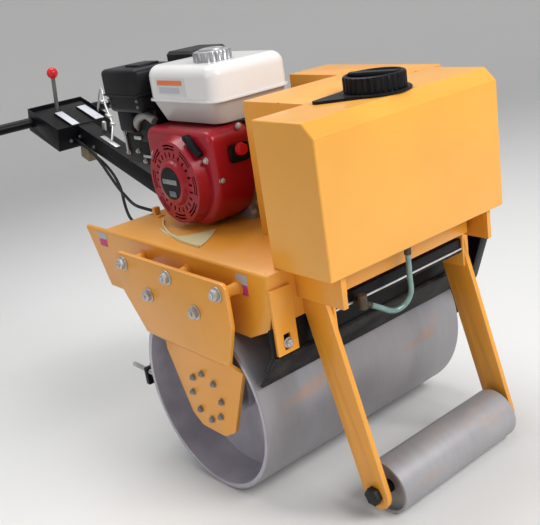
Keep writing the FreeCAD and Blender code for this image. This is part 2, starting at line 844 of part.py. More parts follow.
# Rear scraper: two flat hangers behind the cross member carry a level blade at axle
# height, and a round adjusting rod runs back from each hanger's foot.
hanger_x = ("-cross_x - hanger_depth", "-cross_x")
hangers, rods = [], []
for word, side in SIDES.items():
    low, high = side_span(side, "hanger_side - hanger_wall", "hanger_side")
    outline = block("hanger_bar_" + word, hanger_x, (low, high),
                    ("-hanger_drop", f"{skirt_foot} + hanger_overlap"))
    low, high = side_span(side, "hanger_side - 2 * hanger_wall", "hanger_side - hanger_wall")
    seat = block("hanger_seat_" + word, hanger_x, (low, high), ("-rear_blade_level", "hanger_seat - rear_blade_level"))
    hangers.append(joined("hanger_" + word, [outline, seat]))
    spot = ("-rod_rear", f"{side} * (hanger_side + rod_radius)", "-rod_level")
    rods.append(rod("adjusting_rod_" + word, "rod_radius", "rod_rear - cross_x + rod_overlap", spot, "x"))
node("rear_scraper_hangers", grouped("hangers", hangers))
node("rear_scraper_rods", grouped("adjusting_rods", rods))
node("rear_scraper_blade", grouped("rear_blade_group", [
    block("rear_blade", ("-cross_x - hanger_depth", "-drum_radius - rear_blade_gap"),
          ("hanger_wall - hanger_side", "hanger_side - hanger_wall"),
          ("-rear_blade_level - blade_wall", "-rear_blade_level"))]))

# Water tank: a folded steel tank, hollow, with a sloped front top edge and a neck.
tank_top = "(deck_level + tank_height)"
TANK = [
    ("tank_rear", "deck_level"),
    ("tank_front", "deck_level"),
    ("tank_front", f"{tank_top} - tank_chamfer_z"),
    ("tank_front - tank_chamfer_x", tank_top),
    ("tank_rear", tank_top),
]
TANK_INSIDE = [
    ("tank_rear + tank_wall", "deck_level + tank_wall"),
    ("tank_front - tank_wall", "deck_level + tank_wall"),
    ("tank_front - tank_wall", f"{tank_top} - tank_chamfer_z - tank_wall"),
    ("tank_front - tank_chamfer_x - tank_wall", f"{tank_top} - tank_wall"),
    ("tank_rear + tank_wall", f"{tank_top} - tank_wall"),
]
tank_skin = pad("tank_skin", "XZ_Plane", TANK, "-tank_half", "tank_half")
round_edges(tank_skin, "tank_wall", lambda edge: True)
tank_room = pad("tank_room", "XZ_Plane", TANK_INSIDE, "tank_wall - tank_half", "tank_half - tank_wall")
node("water_tank", cut("tank_hollow", tank_skin, tank_room))

cap_parts = [
    rod("cap_flange", "cap_flange_radius", "cap_flange_height", ("neck_x", "0", tank_top), "z"),
    rod("cap_rim", "cap_radius", "cap_height", ("neck_x", "0", f"{tank_top} + cap_flange_height"), "z"),
]
cap_floor = f"{tank_top} + cap_height - cap_flange_height"
cap_recess = rod("cap_recess", "cap_radius - cap_wall", "cap_height", ("neck_x", "0", cap_floor), "z")
cap_bar = block("cap_bar", ("neck_x - cap_radius + cap_wall / 2", "neck_x + cap_radius - cap_wall / 2"),
                ("-cap_bar_half", "cap_bar_half"), (f"{cap_floor} - cap_bar_sink", f"{tank_top} + cap_height + cap_bar_proud"))
cap_cup = cut("cap_cup", joined("cap_solid", cap_parts), cap_recess)
node("tank_cap", joined("cap_joined", [cap_cup, cap_bar]))

# Spray bar: an angle between the two arms with the spray pipe under it.
arm_face = "shelf_half - shelf_wall - arm_wall"
ANGLE = [
    ("spray_bar_x", "spray_bar_top"),
    ("spray_bar_x", "spray_bar_top - spray_bar_leg"),
    ("spray_bar_x - spray_bar_wall", "spray_bar_top - spray_bar_leg"),
    ("spray_bar_x - spray_bar_wall", "spray_bar_top - spray_bar_wall"),
    ("spray_bar_x - spray_bar_leg", "spray_bar_top - spray_bar_wall"),
    ("spray_bar_x - spray_bar_leg", "spray_bar_top"),
]
node("spray_bar", pad("spray_angle", "XZ_Plane", ANGLE, f"-({arm_face})", arm_face))
pipe_x = "spray_bar_x - spray_bar_wall - spray_pipe_radius"
pipe_z = "spray_bar_top - spray_bar_wall - spray_pipe_radius"
node("spray_pipe", grouped("spray_pipe_group", [
    rod("spray_pipe_tube", "spray_pipe_radius", f"2 * ({arm_face})", (pipe_x, f"-({arm_face})", pipe_z))]))
# The hose hangs in a loop from the tank's outlet to the tap's barb; its points are
# chosen by hand, and the barb continues its last run into the tap.
HOSE = [
    (371, -21, 304), (371, -21, 281), (372, -23, 257), (374, -23, 232), (372.5, -29.7, 217),
    (369.8, -41.9, 206.2), (366.4, -57.4, 201.6), (362.8, -73.3, 204), (358.4, -93.3, 218), (353.8, -113.8, 230),
]
hose_end = Vector(*HOSE[-1])
tap_middle = Vector(size("tap_x"), -size("tap_side"), size("tap_level"))
barb = doc.addObject("Part::Cylinder", "tap_barb")
bind(barb, Radius="hose_radius")
barb.Height = (tap_middle - hose_end).Length
barb.Placement = Placement(hose_end, Rotation(Z_AXIS, tap_middle - hose_end))
node("spray_tap", joined("tap_joined", [
    rod("tap_stub", "tap_stub_radius", "tap_x - spray_bar_x", ("spray_bar_x", "-tap_side", "tap_level"), "x"),
    rod("tap_body", "tap_radius", "tap_height", ("tap_x", "-tap_side", "tap_level - tap_drop"), "z"),
    barb,
]))
node("tank_outlet", grouped("outlet_group", [
    rod("outlet_stub", "outlet_radius", "outlet_length",
        ("outlet_x", "-outlet_side", "deck_level - outlet_length"), "z")]))

# Belt guard: a hollow sheet box beside the engine and behind the tank, open below.
GUARD = [
    ("tank_rear", "-guard_right"),
    ("tank_rear", "guard_left"),
    ("-guard_rear", "guard_left"),
    ("-guard_rear", "guard_inner"),
    ("guard_step", "guard_inner"),
    ("guard_step", "-guard_right"),
]
GUARD_INSIDE = [
    ("tank_rear - guard_wall", "guard_wall - guard_right"),
    ("tank_rear - guard_wall", "guard_left - guard_wall"),
    ("guard_wall - guard_rear", "guard_left - guard_wall"),
    ("guard_wall - guard_rear", "guard_inner + guard_wall"),
    ("guard_step + guard_wall", "guard_inner + guard_wall"),
    ("guard_step + guard_wall", "guard_wall - guard_right"),
]
PULLEY_COVER = [
    ("0", "guard_left"),
    ("-pulley_cover_rear", "guard_left"),
    ("-pulley_cover_rear", "guard_inner"),
    ("0", "guard_inner"),
]
PULLEY_ROOM = [
    ("0", "guard_left - guard_wall"),
    ("guard_wall - pulley_cover_rear", "guard_left - guard_wall"),
    ("guard_wall - pulley_cover_rear", "guard_inner + guard_wall"),
    ("0", "guard_inner + guard_wall"),
]
crank_level = "deck_level + crank_rise"
guard_top = "deck_level + guard_height"
pulley_cover_top = "deck_level + pulley_cover_height"
guard_skin = joined("guard_skin", [
    pad("guard_box", "XY_Plane", GUARD, "deck_level", guard_top),
    pad("pulley_box", "XY_Plane", PULLEY_COVER, "deck_level", pulley_cover_top),
])
shaft_hole = rod("guard_shaft_hole", "shaft_hole_radius", "guard_wall + 2",
                 ("-crank_x", "guard_inner - 1", crank_level))
guard_room = joined("guard_room", [
    pad("guard_box_room", "XY_Plane", GUARD_INSIDE, "deck_level - 1", f"{guard_top} - guard_wall"),
    pad("pulley_box_room", "XY_Plane", PULLEY_ROOM, "deck_level - 1", f"{pulley_cover_top} - guard_wall"),
    shaft_hole,
])
node("belt_guard", cut("guard_hollow", guard_skin, guard_room))

# Transmission: the heavy gearbox that the guard hides, as one plain block on the deck.
node("gearbox", grouped("gearbox_group", [
    block("gearbox_block", ("gearbox_rear", "gearbox_rear + gearbox_long"),
          ("gearbox_side - gearbox_wide / 2", "gearbox_side + gearbox_wide / 2"),
          ("deck_level", "deck_level + gearbox_tall"))]))

# Engine: crankcase, slanted finned cylinder, fan cover, recoil starter, tank and cans.
seat_x = "-crank_x - cylinder_seat * cos(cylinder_lean)"
seat_z = f"{crank_level} + cylinder_seat * sin(cylinder_lean)"
seat_run_x, seat_run_z = "cylinder_half * sin(cylinder_lean)", "cylinder_half * cos(cylinder_lean)"
CASE = [
    (f"{seat_x} - {seat_run_x} + case_toe", "deck_level"),
    ("-crank_x + case_front", "deck_level"),
    ("-crank_x + case_front", f"{crank_level} + case_rise - case_shoulder"),
    ("-crank_x + case_front - case_shoulder", f"{crank_level} + case_rise"),
    (f"{seat_x} + {seat_run_x}", f"{seat_z} + {seat_run_z}"),
    (f"{seat_x} - {seat_run_x}", f"{seat_z} - {seat_run_z}"),
]
case = pad("case_block", "XZ_Plane", CASE, "-case_right", "case_left")
base = block("case_foot", (f"{seat_x} - case_lip", "-crank_x + case_front + case_lip"),
             ("-case_right", "case_left + case_lip"), ("deck_level", "deck_level + case_base"))
cover = rod("case_cover", "case_cover_radius", "case_cover_depth", ("-crank_x", "case_left", crank_level))
shaft = rod("case_shaft", "shaft_radius", "shaft_end - case_left - case_cover_depth",
            ("-crank_x", "case_left + case_cover_depth", crank_level))
fuel_foot = f"{crank_level} + fan_rise + fuel_gap"
rests = []
for word, side in SIDES.items():
    rests.append(block("tank_rest_" + word, ("-crank_x - rest_half", "-crank_x + rest_half"),
                       side_span(side, "rest_side - rest_wall", "rest_side"),
                       (f"{crank_level} + case_rise", fuel_foot)))
node("engine_crankcase", joined("case_joined", [case, base, cover, shaft] + rests))

# Cylinder: drawn along -X from the crank axis and tilted with its lean. Its fins stand
# a pitch apart from the seat to the rocker cover.
head_parts = [
    block("cylinder_barrel", ("-barrel_end", "-cylinder_seat"), ("-barrel_half", "barrel_half"),
          ("-barrel_half", "barrel_half")),
    block("cylinder_head", ("-head_end", "-barrel_end"), ("-barrel_half - head_proud", "barrel_half + head_proud"),
          ("-barrel_half - fin_trim", "barrel_half + fin_trim")),
]
fin_reach = size("head_end") - size("cylinder_seat") - 2 * size("fin_wall")
for number in range(int(fin_reach // size("fin_pitch")) + 1):
    start = f"-cylinder_seat - {number + 1} * fin_pitch"
    head_parts.append(block(f"cylinder_fin_{number + 1}", (start, start + " + fin_wall"),
                            ("-cylinder_half", "cylinder_half"), ("fin_trim - cylinder_half", "cylinder_half - fin_trim")))
rocker_cover = block("rocker_cover", ("-rocker_cover_end", "-head_end"), ("-barrel_half", "barrel_half"),
                     ("fin_trim - barrel_half", "barrel_half - fin_trim"))
head_parts.append(rocker_cover)
cylinder_at = Placement(Vector(-size("crank_x"), 0, size("deck_level") + size("crank_rise")),
                        Rotation(Y_AXIS, size("cylinder_lean")))
node("engine_cylinder", joined("cylinder_joined", head_parts), cylinder_at)


def fan_shape(name, inset, low, high, rim):
    """Fan housing, round below the crank and square above, shrunk by an inset, with its
    outer rim rounded off or bevelled."""
    corners = [
        (f"-crank_x - fan_half + {inset}", f"{crank_level} - fan_drop + {inset}"),
        (f"-crank_x + fan_half - {inset}", f"{crank_level} - fan_drop + {inset}"),
        (f"-crank_x + fan_half - {inset}", f"{crank_level} + fan_rise - {inset}"),
        (f"-crank_x - fan_half + {inset}", f"{crank_level} + fan_rise - {inset}"),
    ]
    body = pad(name, "XZ_Plane", corners, low, high)
    crank_z = size("deck_level") + size("crank_rise")
    round_edges(body, f"fan_corner - {inset}", lambda edge: along(edge, Y_AXIS) and edge.BoundBox.ZMin < crank_z)
    round_edges(body, f"fan_shoulder - {inset}", lambda edge: along(edge, Y_AXIS) and edge.BoundBox.ZMin > crank_z)
    front = body.Shape.BoundBox.YMin
    return round_edges(body, "fan_rim", lambda edge: edge.BoundBox.YMax < front + 1e-3, rim)


fan_skin = fan_shape("fan_skin", "0", "-fan_right", "-case_right", "Fillet")
fan_room = fan_shape("fan_room", "cover_wall", "cover_wall - fan_right", "1 - case_right", "Chamfer")
fan_mouth = rod("fan_mouth", "recoil_radius - recoil_rim - recoil_wall", "2 * cover_wall",
                ("-crank_x", "-fan_right - cover_wall / 2", crank_level))
node("engine_fan_cover", cut("fan_hollow", fan_skin, joined("fan_opening", [fan_room, fan_mouth])))

# Recoil starter: a pressed cup over the fan, with a ring of radial vents round its hub
# and groups of curved louvres outside them, all cut through its face.
recoil_face = "(fan_right + recoil_depth)"
hub_face = "(fan_right + recoil_depth + recoil_hub_depth)"
recoil_profile = [
    ("0", f"-{hub_face}"),
    ("recoil_hub_radius", f"-{hub_face}"),
    ("recoil_hub_radius + recoil_hub_slope", f"-{recoil_face}"),
    ("recoil_radius - recoil_rim", f"-{recoil_face}"),
    ("recoil_radius", "-fan_right"),
    ("recoil_radius - recoil_wall", "-fan_right"),
    ("recoil_radius - recoil_rim - recoil_wall", f"recoil_wall - {recoil_face}"),
    ("recoil_hub_radius + recoil_hub_slope - recoil_wall", f"recoil_wall - {recoil_face}"),
    ("recoil_hub_radius - recoil_wall", f"recoil_wall - {hub_face}"),
    ("0", f"recoil_wall - {hub_face}"),
]
recoil = turn("recoil_turned", recoil_profile, across="-crank_x", up=crank_level)


def ring_of_cuts(body, name, count, outlines):
    """Cut the drawn slots through the face and repeat them round the crank."""
    sketch = sketch_on(body, name + "_sketch", "XZ_Plane", hub_face)
    bind(sketch, AttachmentOffset__Base__x="-crank_x", AttachmentOffset__Base__y=crank_level)
    for outline in outlines:
        draw_outline(sketch, outline)
    before = body.Shape.Volume
    pocket = body.newObject("PartDesign::Pocket", name + "_pocket")
    pocket.Profile = sketch
    bind(pocket, Length="recoil_hub_depth + 2 * recoil_wall")
    pattern = body.newObject("PartDesign::PolarPattern", name + "_pattern")
    pattern.Originals = [pocket]
    pattern.Axis = (sketch, ["N_Axis"])
    pattern.Angle = 360
    pattern.Occurrences = int(size(count))
    body.Tip = pattern
    doc.recompute()
    print(name, "took away", round(before - body.Shape.Volume), "cubic millimetres")
    return body


VENT = [("-vent_half", "vent_inner"), ("vent_half", "vent_inner"), ("vent_half", "vent_outer"),
        ("-vent_half", "vent_outer")]
ring_of_cuts(recoil, "vents", "vent_count", [VENT])


def louvre(row):
    """Curved slot round the crank: points on its inner arc, then back along its outer arc."""
    inner = f"(louvre_radius + {row} * louvre_pitch)"
    outer = f"({inner} + louvre_wide)"
    swing = "louvre_half_angle"
    return [
        (f"-{inner} * sin({swing})", f"{inner} * cos({swing})"),
        ("0", inner),
        (f"{inner} * sin({swing})", f"{inner} * cos({swing})"),
        (f"{outer} * sin({swing})", f"{outer} * cos({swing})"),
        ("0", outer),
        (f"-{outer} * sin({swing})", f"{outer} * cos({swing})"),
    ]


ring_of_cuts(recoil, "louvres", "louvre_count", [louvre(0), louvre(1)])
node("engine_recoil_starter", recoil)


def beside_cup(across, out):
    """A point in front of the fan cover: across the pull, and out from the cup's rim."""
    return (f"-crank_x + (pull_ring + {out}) * sin(pull_angle) + {across} * cos(pull_angle)",
            f"{crank_level} + (pull_ring + {out}) * cos(pull_angle) - {across} * sin(pull_angle)")


# Starter pull: a moulded grip that rests on the fan cover beside the cup's upper rim.
PULL = [beside_cup("-pull_half", "-pull_half_wide"), beside_cup("pull_half", "-pull_half_wide"),
        beside_cup("pull_half", "pull_half_wide"), beside_cup("-pull_half", "pull_half_wide")]
pull = pad("pull_grip", "XZ_Plane", PULL, "-fan_right - pull_depth", "-fan_right")
round_edges(pull, "pull_corner", lambda edge: along(edge, Y_AXIS))
pull_front = pull.Shape.BoundBox.YMin
round_edges(pull, "pull_bevel", lambda edge: edge.BoundBox.YMax < pull_front + 1e-3, "Chamfer")
node("engine_starter_pull", pull)

# Engine switch: a turning knob on a small rounded housing at the fan cover's front side.
switch_face = "(-crank_x + fan_half)"
switch_level = f"({crank_level} + switch_rise)"
SWITCH = [
    ("-switch_side - switch_half_wide", f"{switch_level} - switch_half_tall"),
    ("switch_half_wide - switch_side", f"{switch_level} - switch_half_tall"),
    ("switch_half_wide - switch_side", f"{switch_level} + switch_half_tall"),
    ("-switch_side - switch_half_wide", f"{switch_level} + switch_half_tall"),
]
housing = pad("switch_housing", "YZ_Plane", SWITCH, switch_face, f"{switch_face} + switch_depth")
node("engine_switch_mount", round_edges(housing, "switch_corner", lambda edge: along(edge, X_AXIS)))
knob_at = (f"{switch_face} + switch_depth", "-switch_side", f"{crank_level} + knob_rise")
node("engine_switch_knob", joined("switch_knob_joined", [
    rod("switch_knob_collar", "knob_collar_radius", "knob_collar_wall", knob_at, "x"),
    rod("switch_knob_grip", "knob_radius", "knob_depth", knob_at, "x"),
]))


def rounded_box(name, x_span, y_span, z_span, corner, crown=None, rim="Chamfer"):
    """Upright box with rounded corners, and a bevelled or rounded rim at its top."""
    corners = [(x_span[0], y_span[0]), (x_span[1], y_span[0]), (x_span[1], y_span[1]), (x_span[0], y_span[1])]
    body = pad(name, "XY_Plane", corners, *z_span)
    round_edges(body, corner, lambda edge: along(edge, Z_AXIS))
    top = body.Shape.BoundBox.ZMax
    if crown:
        round_edges(body, crown, lambda edge: edge.BoundBox.ZMin > top - 1e-3, rim)
    return body


def tapered_box(name, x_span, y_span, z_span, corner, shrink):
    """Box that hangs from its top outline and narrows downward, with rounded corners."""
    body = new_body(name)
    sketch = sketch_on(body, name + "_outline", "XY_Plane", z_span[1])
    draw_outline(sketch, [(x_span[0], y_span[0]), (x_span[1], y_span[0]), (x_span[1], y_span[1]),
                          (x_span[0], y_span[1])])
    feature = body.newObject("PartDesign::Pad", name + "_pad")
    feature.Profile = sketch
    feature.Reversed = True
    bind(feature, Length=f"({z_span[1]}) - ({z_span[0]})")
    feature.setExpression("TaperAngle", bound(f"-atan(({shrink}) / (({z_span[1]}) - ({z_span[0]})))"))
    doc.recompute()
    round_edges(body, corner, lambda edge: edge.BoundBox.ZLength > 1)
    return body


def inset_span(span, wall):
    return (f"({span[0]}) + {wall}", f"({span[1]}) - {wall}")


# Fuel tank: two pressed shells, seamed by a narrow lip all round. The upper one has a
# rounded crown, and the lower one narrows to its foot.
fuel_seam = f"({fuel_foot} + fuel_lower)"
fuel_top = f"({fuel_seam} + fuel_upper)"
fuel_x, fuel_y = ("-fuel_rear", "-fuel_front"), ("-fuel_right", "fuel_left")
fuel_room_x, fuel_room_y = inset_span(fuel_x, "cover_wall"), inset_span(fuel_y, "cover_wall")
lip_x_span, lip_y_span = inset_span(fuel_x, "-seam_lip"), inset_span(fuel_y, "-seam_lip")
fuel_skin = joined("fuel_skin", [
    rounded_box("fuel_upper_shell", fuel_x, fuel_y, (fuel_seam, fuel_top), "fuel_corner", "fuel_crown", "Fillet"),
    rounded_box("fuel_seam_lip", lip_x_span, lip_y_span, (f"{fuel_seam} - seam_wall", fuel_seam),
                "fuel_corner + seam_lip"),
    tapered_box("fuel_lower_shell", fuel_x, fuel_y, (fuel_foot, fuel_seam), "fuel_corner", "fuel_taper"),
])
fuel_room = joined("fuel_room", [
    rounded_box("fuel_upper_room", fuel_room_x, fuel_room_y, (fuel_seam, f"{fuel_top} - cover_wall"),
                "fuel_corner - cover_wall", "0.75 * fuel_crown"),
    tapered_box("fuel_lower_room", fuel_room_x, fuel_room_y, (f"{fuel_foot} + cover_wall", fuel_seam),
                "fuel_corner - cover_wall", "fuel_taper"),
])
node("fuel_tank", cut("fuel_hollow", fuel_skin, fuel_room))
node("fuel_cap", grouped("fuel_cap_group", [
    rod("fuel_cap_disc", "fuel_cap_radius", "fuel_cap_height", ("-fuel_cap_x", "-fuel_cap_side", fuel_top), "z")]))

# Air cleaner: a black box with a lid, on a narrower base beside the cylinder.
cleaner_foot = f"({crank_level} + cleaner_rise)"
cleaner_seam = f"({cleaner_foot} + cleaner_base)"
node("air_cleaner", joined("cleaner_joined", [
    rounded_box("cleaner_cover_box", ("-cleaner_rear", "-cleaner_front"), ("-cleaner_right", "-cleaner_left"),
                (cleaner_seam, f"{cleaner_seam} + cleaner_cover"), "cleaner_corner", "cleaner_bevel"),
    block("cleaner_base_box", ("-cleaner_rear + cleaner_corner", "-cleaner_front - cleaner_bevel"),
          ("-cleaner_right + cleaner_bevel", "-cylinder_half - cleaner_gap"), (cleaner_foot, cleaner_seam)),
]))

# Muffler: a pressed can above the cylinder, hollow, on a bent pipe from the port.
muffler_foot = f"({crank_level} + muffler_rise)"
muffler_spans = [("-muffler_rear", "-muffler_front"), ("muffler_right", "muffler_left"),
                 (muffler_foot, f"{muffler_foot} + muffler_height")]
can = cut("muffler_hollow", rounded_box("muffler_can", *muffler_spans, "muffler_corner", "muffler_bevel"),
          rounded_box("muffler_room", *[inset_span(span, "cover_wall") for span in muffler_spans],
                      "muffler_corner - cover_wall", "muffler_bevel"))
port_reach = "(barrel_end + head_end) / 2"
port_x = f"-crank_x - {port_reach} * cos(cylinder_lean)"
port_z = f"{crank_level} + {port_reach} * sin(cylinder_lean)"
pipe_y = "cylinder_half + exhaust_reach"
node("muffler", joined("muffler_joined", [
    can,
    rod("exhaust_stub", "exhaust_radius", "exhaust_reach + exhaust_radius", (port_x, "cylinder_half", port_z)),
    rod("exhaust_riser", "exhaust_radius", f"{muffler_foot} - ({port_z}) + exhaust_radius",
        (port_x, pipe_y, f"{port_z} - exhaust_radius"), "z"),
]))
node("carburettor", joined("carburettor_joined", [
    block("carburettor_body", (f"{port_x} - carburettor_rear", f"{port_x} + carburettor_front"),
          ("-cylinder_half - carburettor_wide", "-cylinder_half"),
          (f"{cleaner_foot} - carburettor_tall", cleaner_foot)),
    rod("carburettor_bowl", "bowl_radius", "bowl_drop - carburettor_tall + 2",
        (port_x, "-cylinder_half - bowl_side", f"{cleaner_foot} - bowl_drop"), "z"),
]))

# Handle: a square tube bolted to the rear flange, a control box at its upper end and a
# cross bar through the box. They are drawn along their own axes and tilted together.
handle_turn = Rotation(Y_AXIS, 180)
handle_at = Placement(Vector(-size("deck_rear") - size("pole_plate_wall"), 0, size("pole_base_level")),
                      Rotation(Y_AXIS, size("pole_rise")))
pole = pad("pole_tube", "YZ_Plane",
           [("-pole_side / 2", "-pole_side / 2"), ("pole_side / 2", "-pole_side / 2"),
            ("pole_side / 2", "pole_side / 2"), ("-pole_side / 2", "pole_side / 2")],
           "-pole_length", "pole_side",
           cutouts=[[("pole_wall - pole_side / 2", "pole_wall - pole_side / 2"),
                     ("pole_side / 2 - pole_wall", "pole_wall - pole_side / 2"),
                     ("pole_side / 2 - pole_wall", "pole_side / 2 - pole_wall"),
                     ("pole_wall - pole_side / 2", "pole_side / 2 - pole_wall")]])
trim = grouped("pole_trim", [block("pole_trim_block", ("0", "2 * pole_side"), ("-pole_side", "pole_side"),
                                   ("-2 * pole_side", "2 * pole_side"))])
trim.Placement = Placement(Vector(), Rotation(Y_AXIS, -size("pole_rise")))
node("handle_pole", cut("pole_cut", pole, trim), handle_at)
node("pole_base_plate", grouped("pole_plate_group", [
    block("pole_plate", ("-deck_rear - pole_plate_wall", "-deck_rear"), ("-pole_plate_half", "pole_plate_half"),
          (f"{skirt_foot} + pole_plate_gap", "deck_level"))]))

box_span = ("-pole_length - box_length", "-pole_length")
shell = block("box_shell", box_span, ("-box_half", "box_half"), ("-box_low", "box_high"))
room = block("box_room", ("-pole_length - box_length + box_wall", "-pole_length - box_wall"),
             ("box_wall - box_half", "box_half - box_wall"), ("box_wall - box_low", "box_high - box_recess - box_wall"))
tray = block("box_tray", ("-pole_length - box_length + box_wall", "-pole_length - box_wall"),
             ("box_wall - box_half", "box_half - box_wall"), ("box_high - box_recess", "box_high + 1"))
bar_x = "-pole_length - box_length + bar_set_back"
bar_hole = rod("box_bar_hole", "bar_radius", "2 * box_half + 2", (bar_x, "-box_half - 1", "-bar_drop"))
node("control_box", cut("box_cut", shell, joined("box_tools", [room, tray, bar_hole])), handle_at)
node("handle_bar", cut("bar_tube",
                       rod("bar_outer", "bar_radius", "2 * bar_half", (bar_x, "-bar_half", "-bar_drop")),
                       rod("bar_bore", "bar_radius - bar_wall", "2 * bar_half + 2",
                           (bar_x, "-bar_half - 1", "-bar_drop"))), handle_at)

grips = []
for word, side in SIDES.items():
    low, high = side_span(side, "bar_half - grip_length", "bar_half + grip_overhang")
    sleeve = rod("grip_sleeve_" + word, "grip_radius", f"({high}) - ({low})", (bar_x, low, "-bar_drop"))
    low, high = side_span(side, "bar_half - grip_length - 1", "bar_half")
    core = rod("grip_core_" + word, "bar_radius", f"({high}) - ({low})", (bar_x, low, "-bar_drop"))
    grips.append(cut("grip_cut_" + word, sleeve, core))
node("hand_grips", grouped("grips_group", grips), handle_at)

# Levers: the travel lever is a thin rod with a turned knob, the throttle a flat blade.
lever_foot = "box_high - box_recess"
lever_x = "-pole_length - lever_back"
lever_rod = rod("lever_rod", "lever_radius", "lever_length", (lever_x, "-lever_side", lever_foot), "z")
# Knob profile from its foot to its crown, as shares of its radius: (across, up).
KNOB = [(0, -1), (0.38, -0.92), (0.71, -0.71), (0.92, -0.38), (1, 0), (0.92, 0.38), (0.71, 0.71), (0.38, 0.92), (0, 1)]
knob = turned_up("lever_knob", [(f"{across} * lever_ball_radius", f"{up} * lever_ball_radius") for across, up in KNOB],
                 lever_x, "-lever_side", f"{lever_foot} + lever_length + lever_ball_radius / 2")
node("travel_lever", joined("lever_joined", [lever_rod, knob]), handle_at)

throttle_x = "-pole_length - throttle_back"
node("throttle_lever", grouped("throttle_group", [
    block("throttle_blade", (f"{throttle_x} - throttle_half", f"{throttle_x} + throttle_half"),
          ("throttle_side - throttle_wall / 2", "throttle_side + throttle_wall / 2"),
          (lever_foot, "box_high + throttle_rise"))]), handle_at)

# Drip lip: a pale plastic strip, bent to a long arc and stood on its edge on the deck
# under the engine's drain.
lip_outer = doc.addObject("Part::Cylinder", "lip_outer")
bind(lip_outer, Radius="lip_radius", Height="lip_height", Angle="lip_sweep")
lip_inner = doc.addObject("Part::Cylinder", "lip_inner")
bind(lip_inner, Radius="lip_radius - lip_wall", Height="lip_height + 2")
for item, foot in ((lip_outer, "deck_level"), (lip_inner, "deck_level - 1")):
    item.Placement.Rotation = Rotation(Z_AXIS, size("lip_start"))
    place(item, ("-lip_x", "lip_side", foot))
node("drip_lip", cut("lip_cut", lip_outer, lip_inner))


CORD_SIDES = 12


def cord(label, radius, points):
    """Plain cord: straight runs joined by tangent arcs, as large as the runs allow. Its
    twelve-sided section has the area of the round one."""
    stops = [Vector(*point) for point in points]
    edges, start, radii = [], stops[0], []
    for before, corner, after in zip(stops, stops[1:], stops[2:]):
        back, ahead = (before - corner), (after - corner)
        shorter = min(back.Length, ahead.Length)
        back.normalize()
        ahead.normalize()
        half_turn = (math.pi - back.getAngle(ahead)) / 2
        trim = 0.45 * shorter
        bend = trim / math.tan(half_turn)
        radii.append(round(bend))
        entry, leave = corner + back * trim, corner + ahead * trim
        inward = (back + ahead).normalize()
        apex = corner + inward * (bend / math.cos(half_turn) - bend)
        edges.append(Part.LineSegment(start, entry).toShape())
        edges.append(Part.Arc(entry, apex, leave).toShape())
        start = leave
    edges.append(Part.LineSegment(start, stops[-1]).toShape())
    path = Part.Wire(edges)
    step = 2 * math.pi / CORD_SIDES
    reach = radius * math.sqrt(step / math.sin(step))
    facing = Rotation(Z_AXIS, stops[1] - stops[0])
    rim = [stops[0] + facing.multVec(Vector(reach * math.cos(k * step), reach * math.sin(k * step), 0))
           for k in range(CORD_SIDES + 1)]
    section = Part.makePolygon(rim)
    item = doc.addObject("Part::Feature", label)
    item.Shape = path.makePipeShell([section], True, False)
    print(label, "length", round(path.Length), "smallest bend", min(radii),
          "volume ratio", round(item.Shape.Volume / (math.pi * radius ** 2 * path.Length), 4))
    return node(label, item)


# Control cables from the box's front wall down beside the pole, one to a stop on the
# deck and one into a grommet in the rear flange. The points are chosen by hand.
LONG_CABLE = [
    (-883.5, -38, 453.8), (-815, -38, 432.4), (-741, -48, 403), (-665, -66, 373), (-592, -86, 349),
    (-518, -107, 338), (-446, -131, 334), (-377, -150, 339), (-311, -150, 339),
]
SHORT_CABLE = [
    (-887.5, -32, 440.8), (-815, -32, 418.1), (-740, -34, 391), (-680, -42, 362), (-635, -54, 330),
    (-590, -78, 307), (-530, -107, 296), (-466, -136, 294), (-406, -154, 292), (-350, -154, 292),
]
cord("control_cable_1", size("cable_radius"), LONG_CABLE)
cord("control_cable_2", size("cable_radius"), SHORT_CABLE)
stop_x, stop_y = LONG_CABLE[-1][0], LONG_CABLE[-1][1]
node("cable_stop", joined("cable_stop_joined", [
    block("cable_stop_foot", (f"{stop_x}", f"{stop_x} + stop_foot"),
          (f"{stop_y} - stop_wide / 2", f"{stop_y} + stop_wide / 2"), ("deck_level", "deck_level + stop_foot_wall")),
    block("cable_stop_post", (f"{stop_x}", f"{stop_x} + stop_post"),
          (f"{stop_y} - stop_wide / 2", f"{stop_y} + stop_wide / 2"),
          ("deck_level + stop_foot_wall", "deck_level + stop_rise")),
]))
node("cable_grommet", grouped("grommet_group", [
    rod("grommet", "grommet_radius", "grommet_length",
        ("-deck_rear - grommet_length", f"{SHORT_CABLE[-1][1]}", f"{SHORT_CABLE[-1][2]}"), "x")]))

cord("water_hose", size("hose_radius"), HOSE)

doc.recompute()

# Park attitude: turned nose down about the drum axle until the guide roller touches the
# ground, then set down with the origin under the middle of the whole machine.
reach = math.hypot(size("guide_x"), size("guide_drop"))
nose_down = (math.degrees(math.asin((size("drum_radius") - size("guide_radius")) / reach))
             - math.degrees(math.atan2(size("guide_drop"), size("guide_x"))))
tilt = Placement(Vector(0, 0, size("drum_radius")), Rotation(Y_AXIS, nose_down))
for item, at in NODES:
    item.Placement = tilt.multiply(at).multiply(item.Placement)
doc.recompute()

whole = FreeCAD.BoundBox()
for item, at in NODES:
    whole.add(item.Shape.optimalBoundingBox(False))
middle = Vector(-whole.Center.x, -whole.Center.y, -whole.ZMin)
for item, at in NODES:
    item.Placement = Placement(middle, Rotation()).multiply(item.Placement)
doc.recompute()

faults = [item.Name for item in doc.Objects if {"Invalid", "Error"} & set(item.State)]
for item, at in NODES:
    if item.Shape.isNull() or not item.Shape.isValid():
        faults.append(item.Label)
if faults:
    raise RuntimeError("failed objects: " + ", ".join(faults))

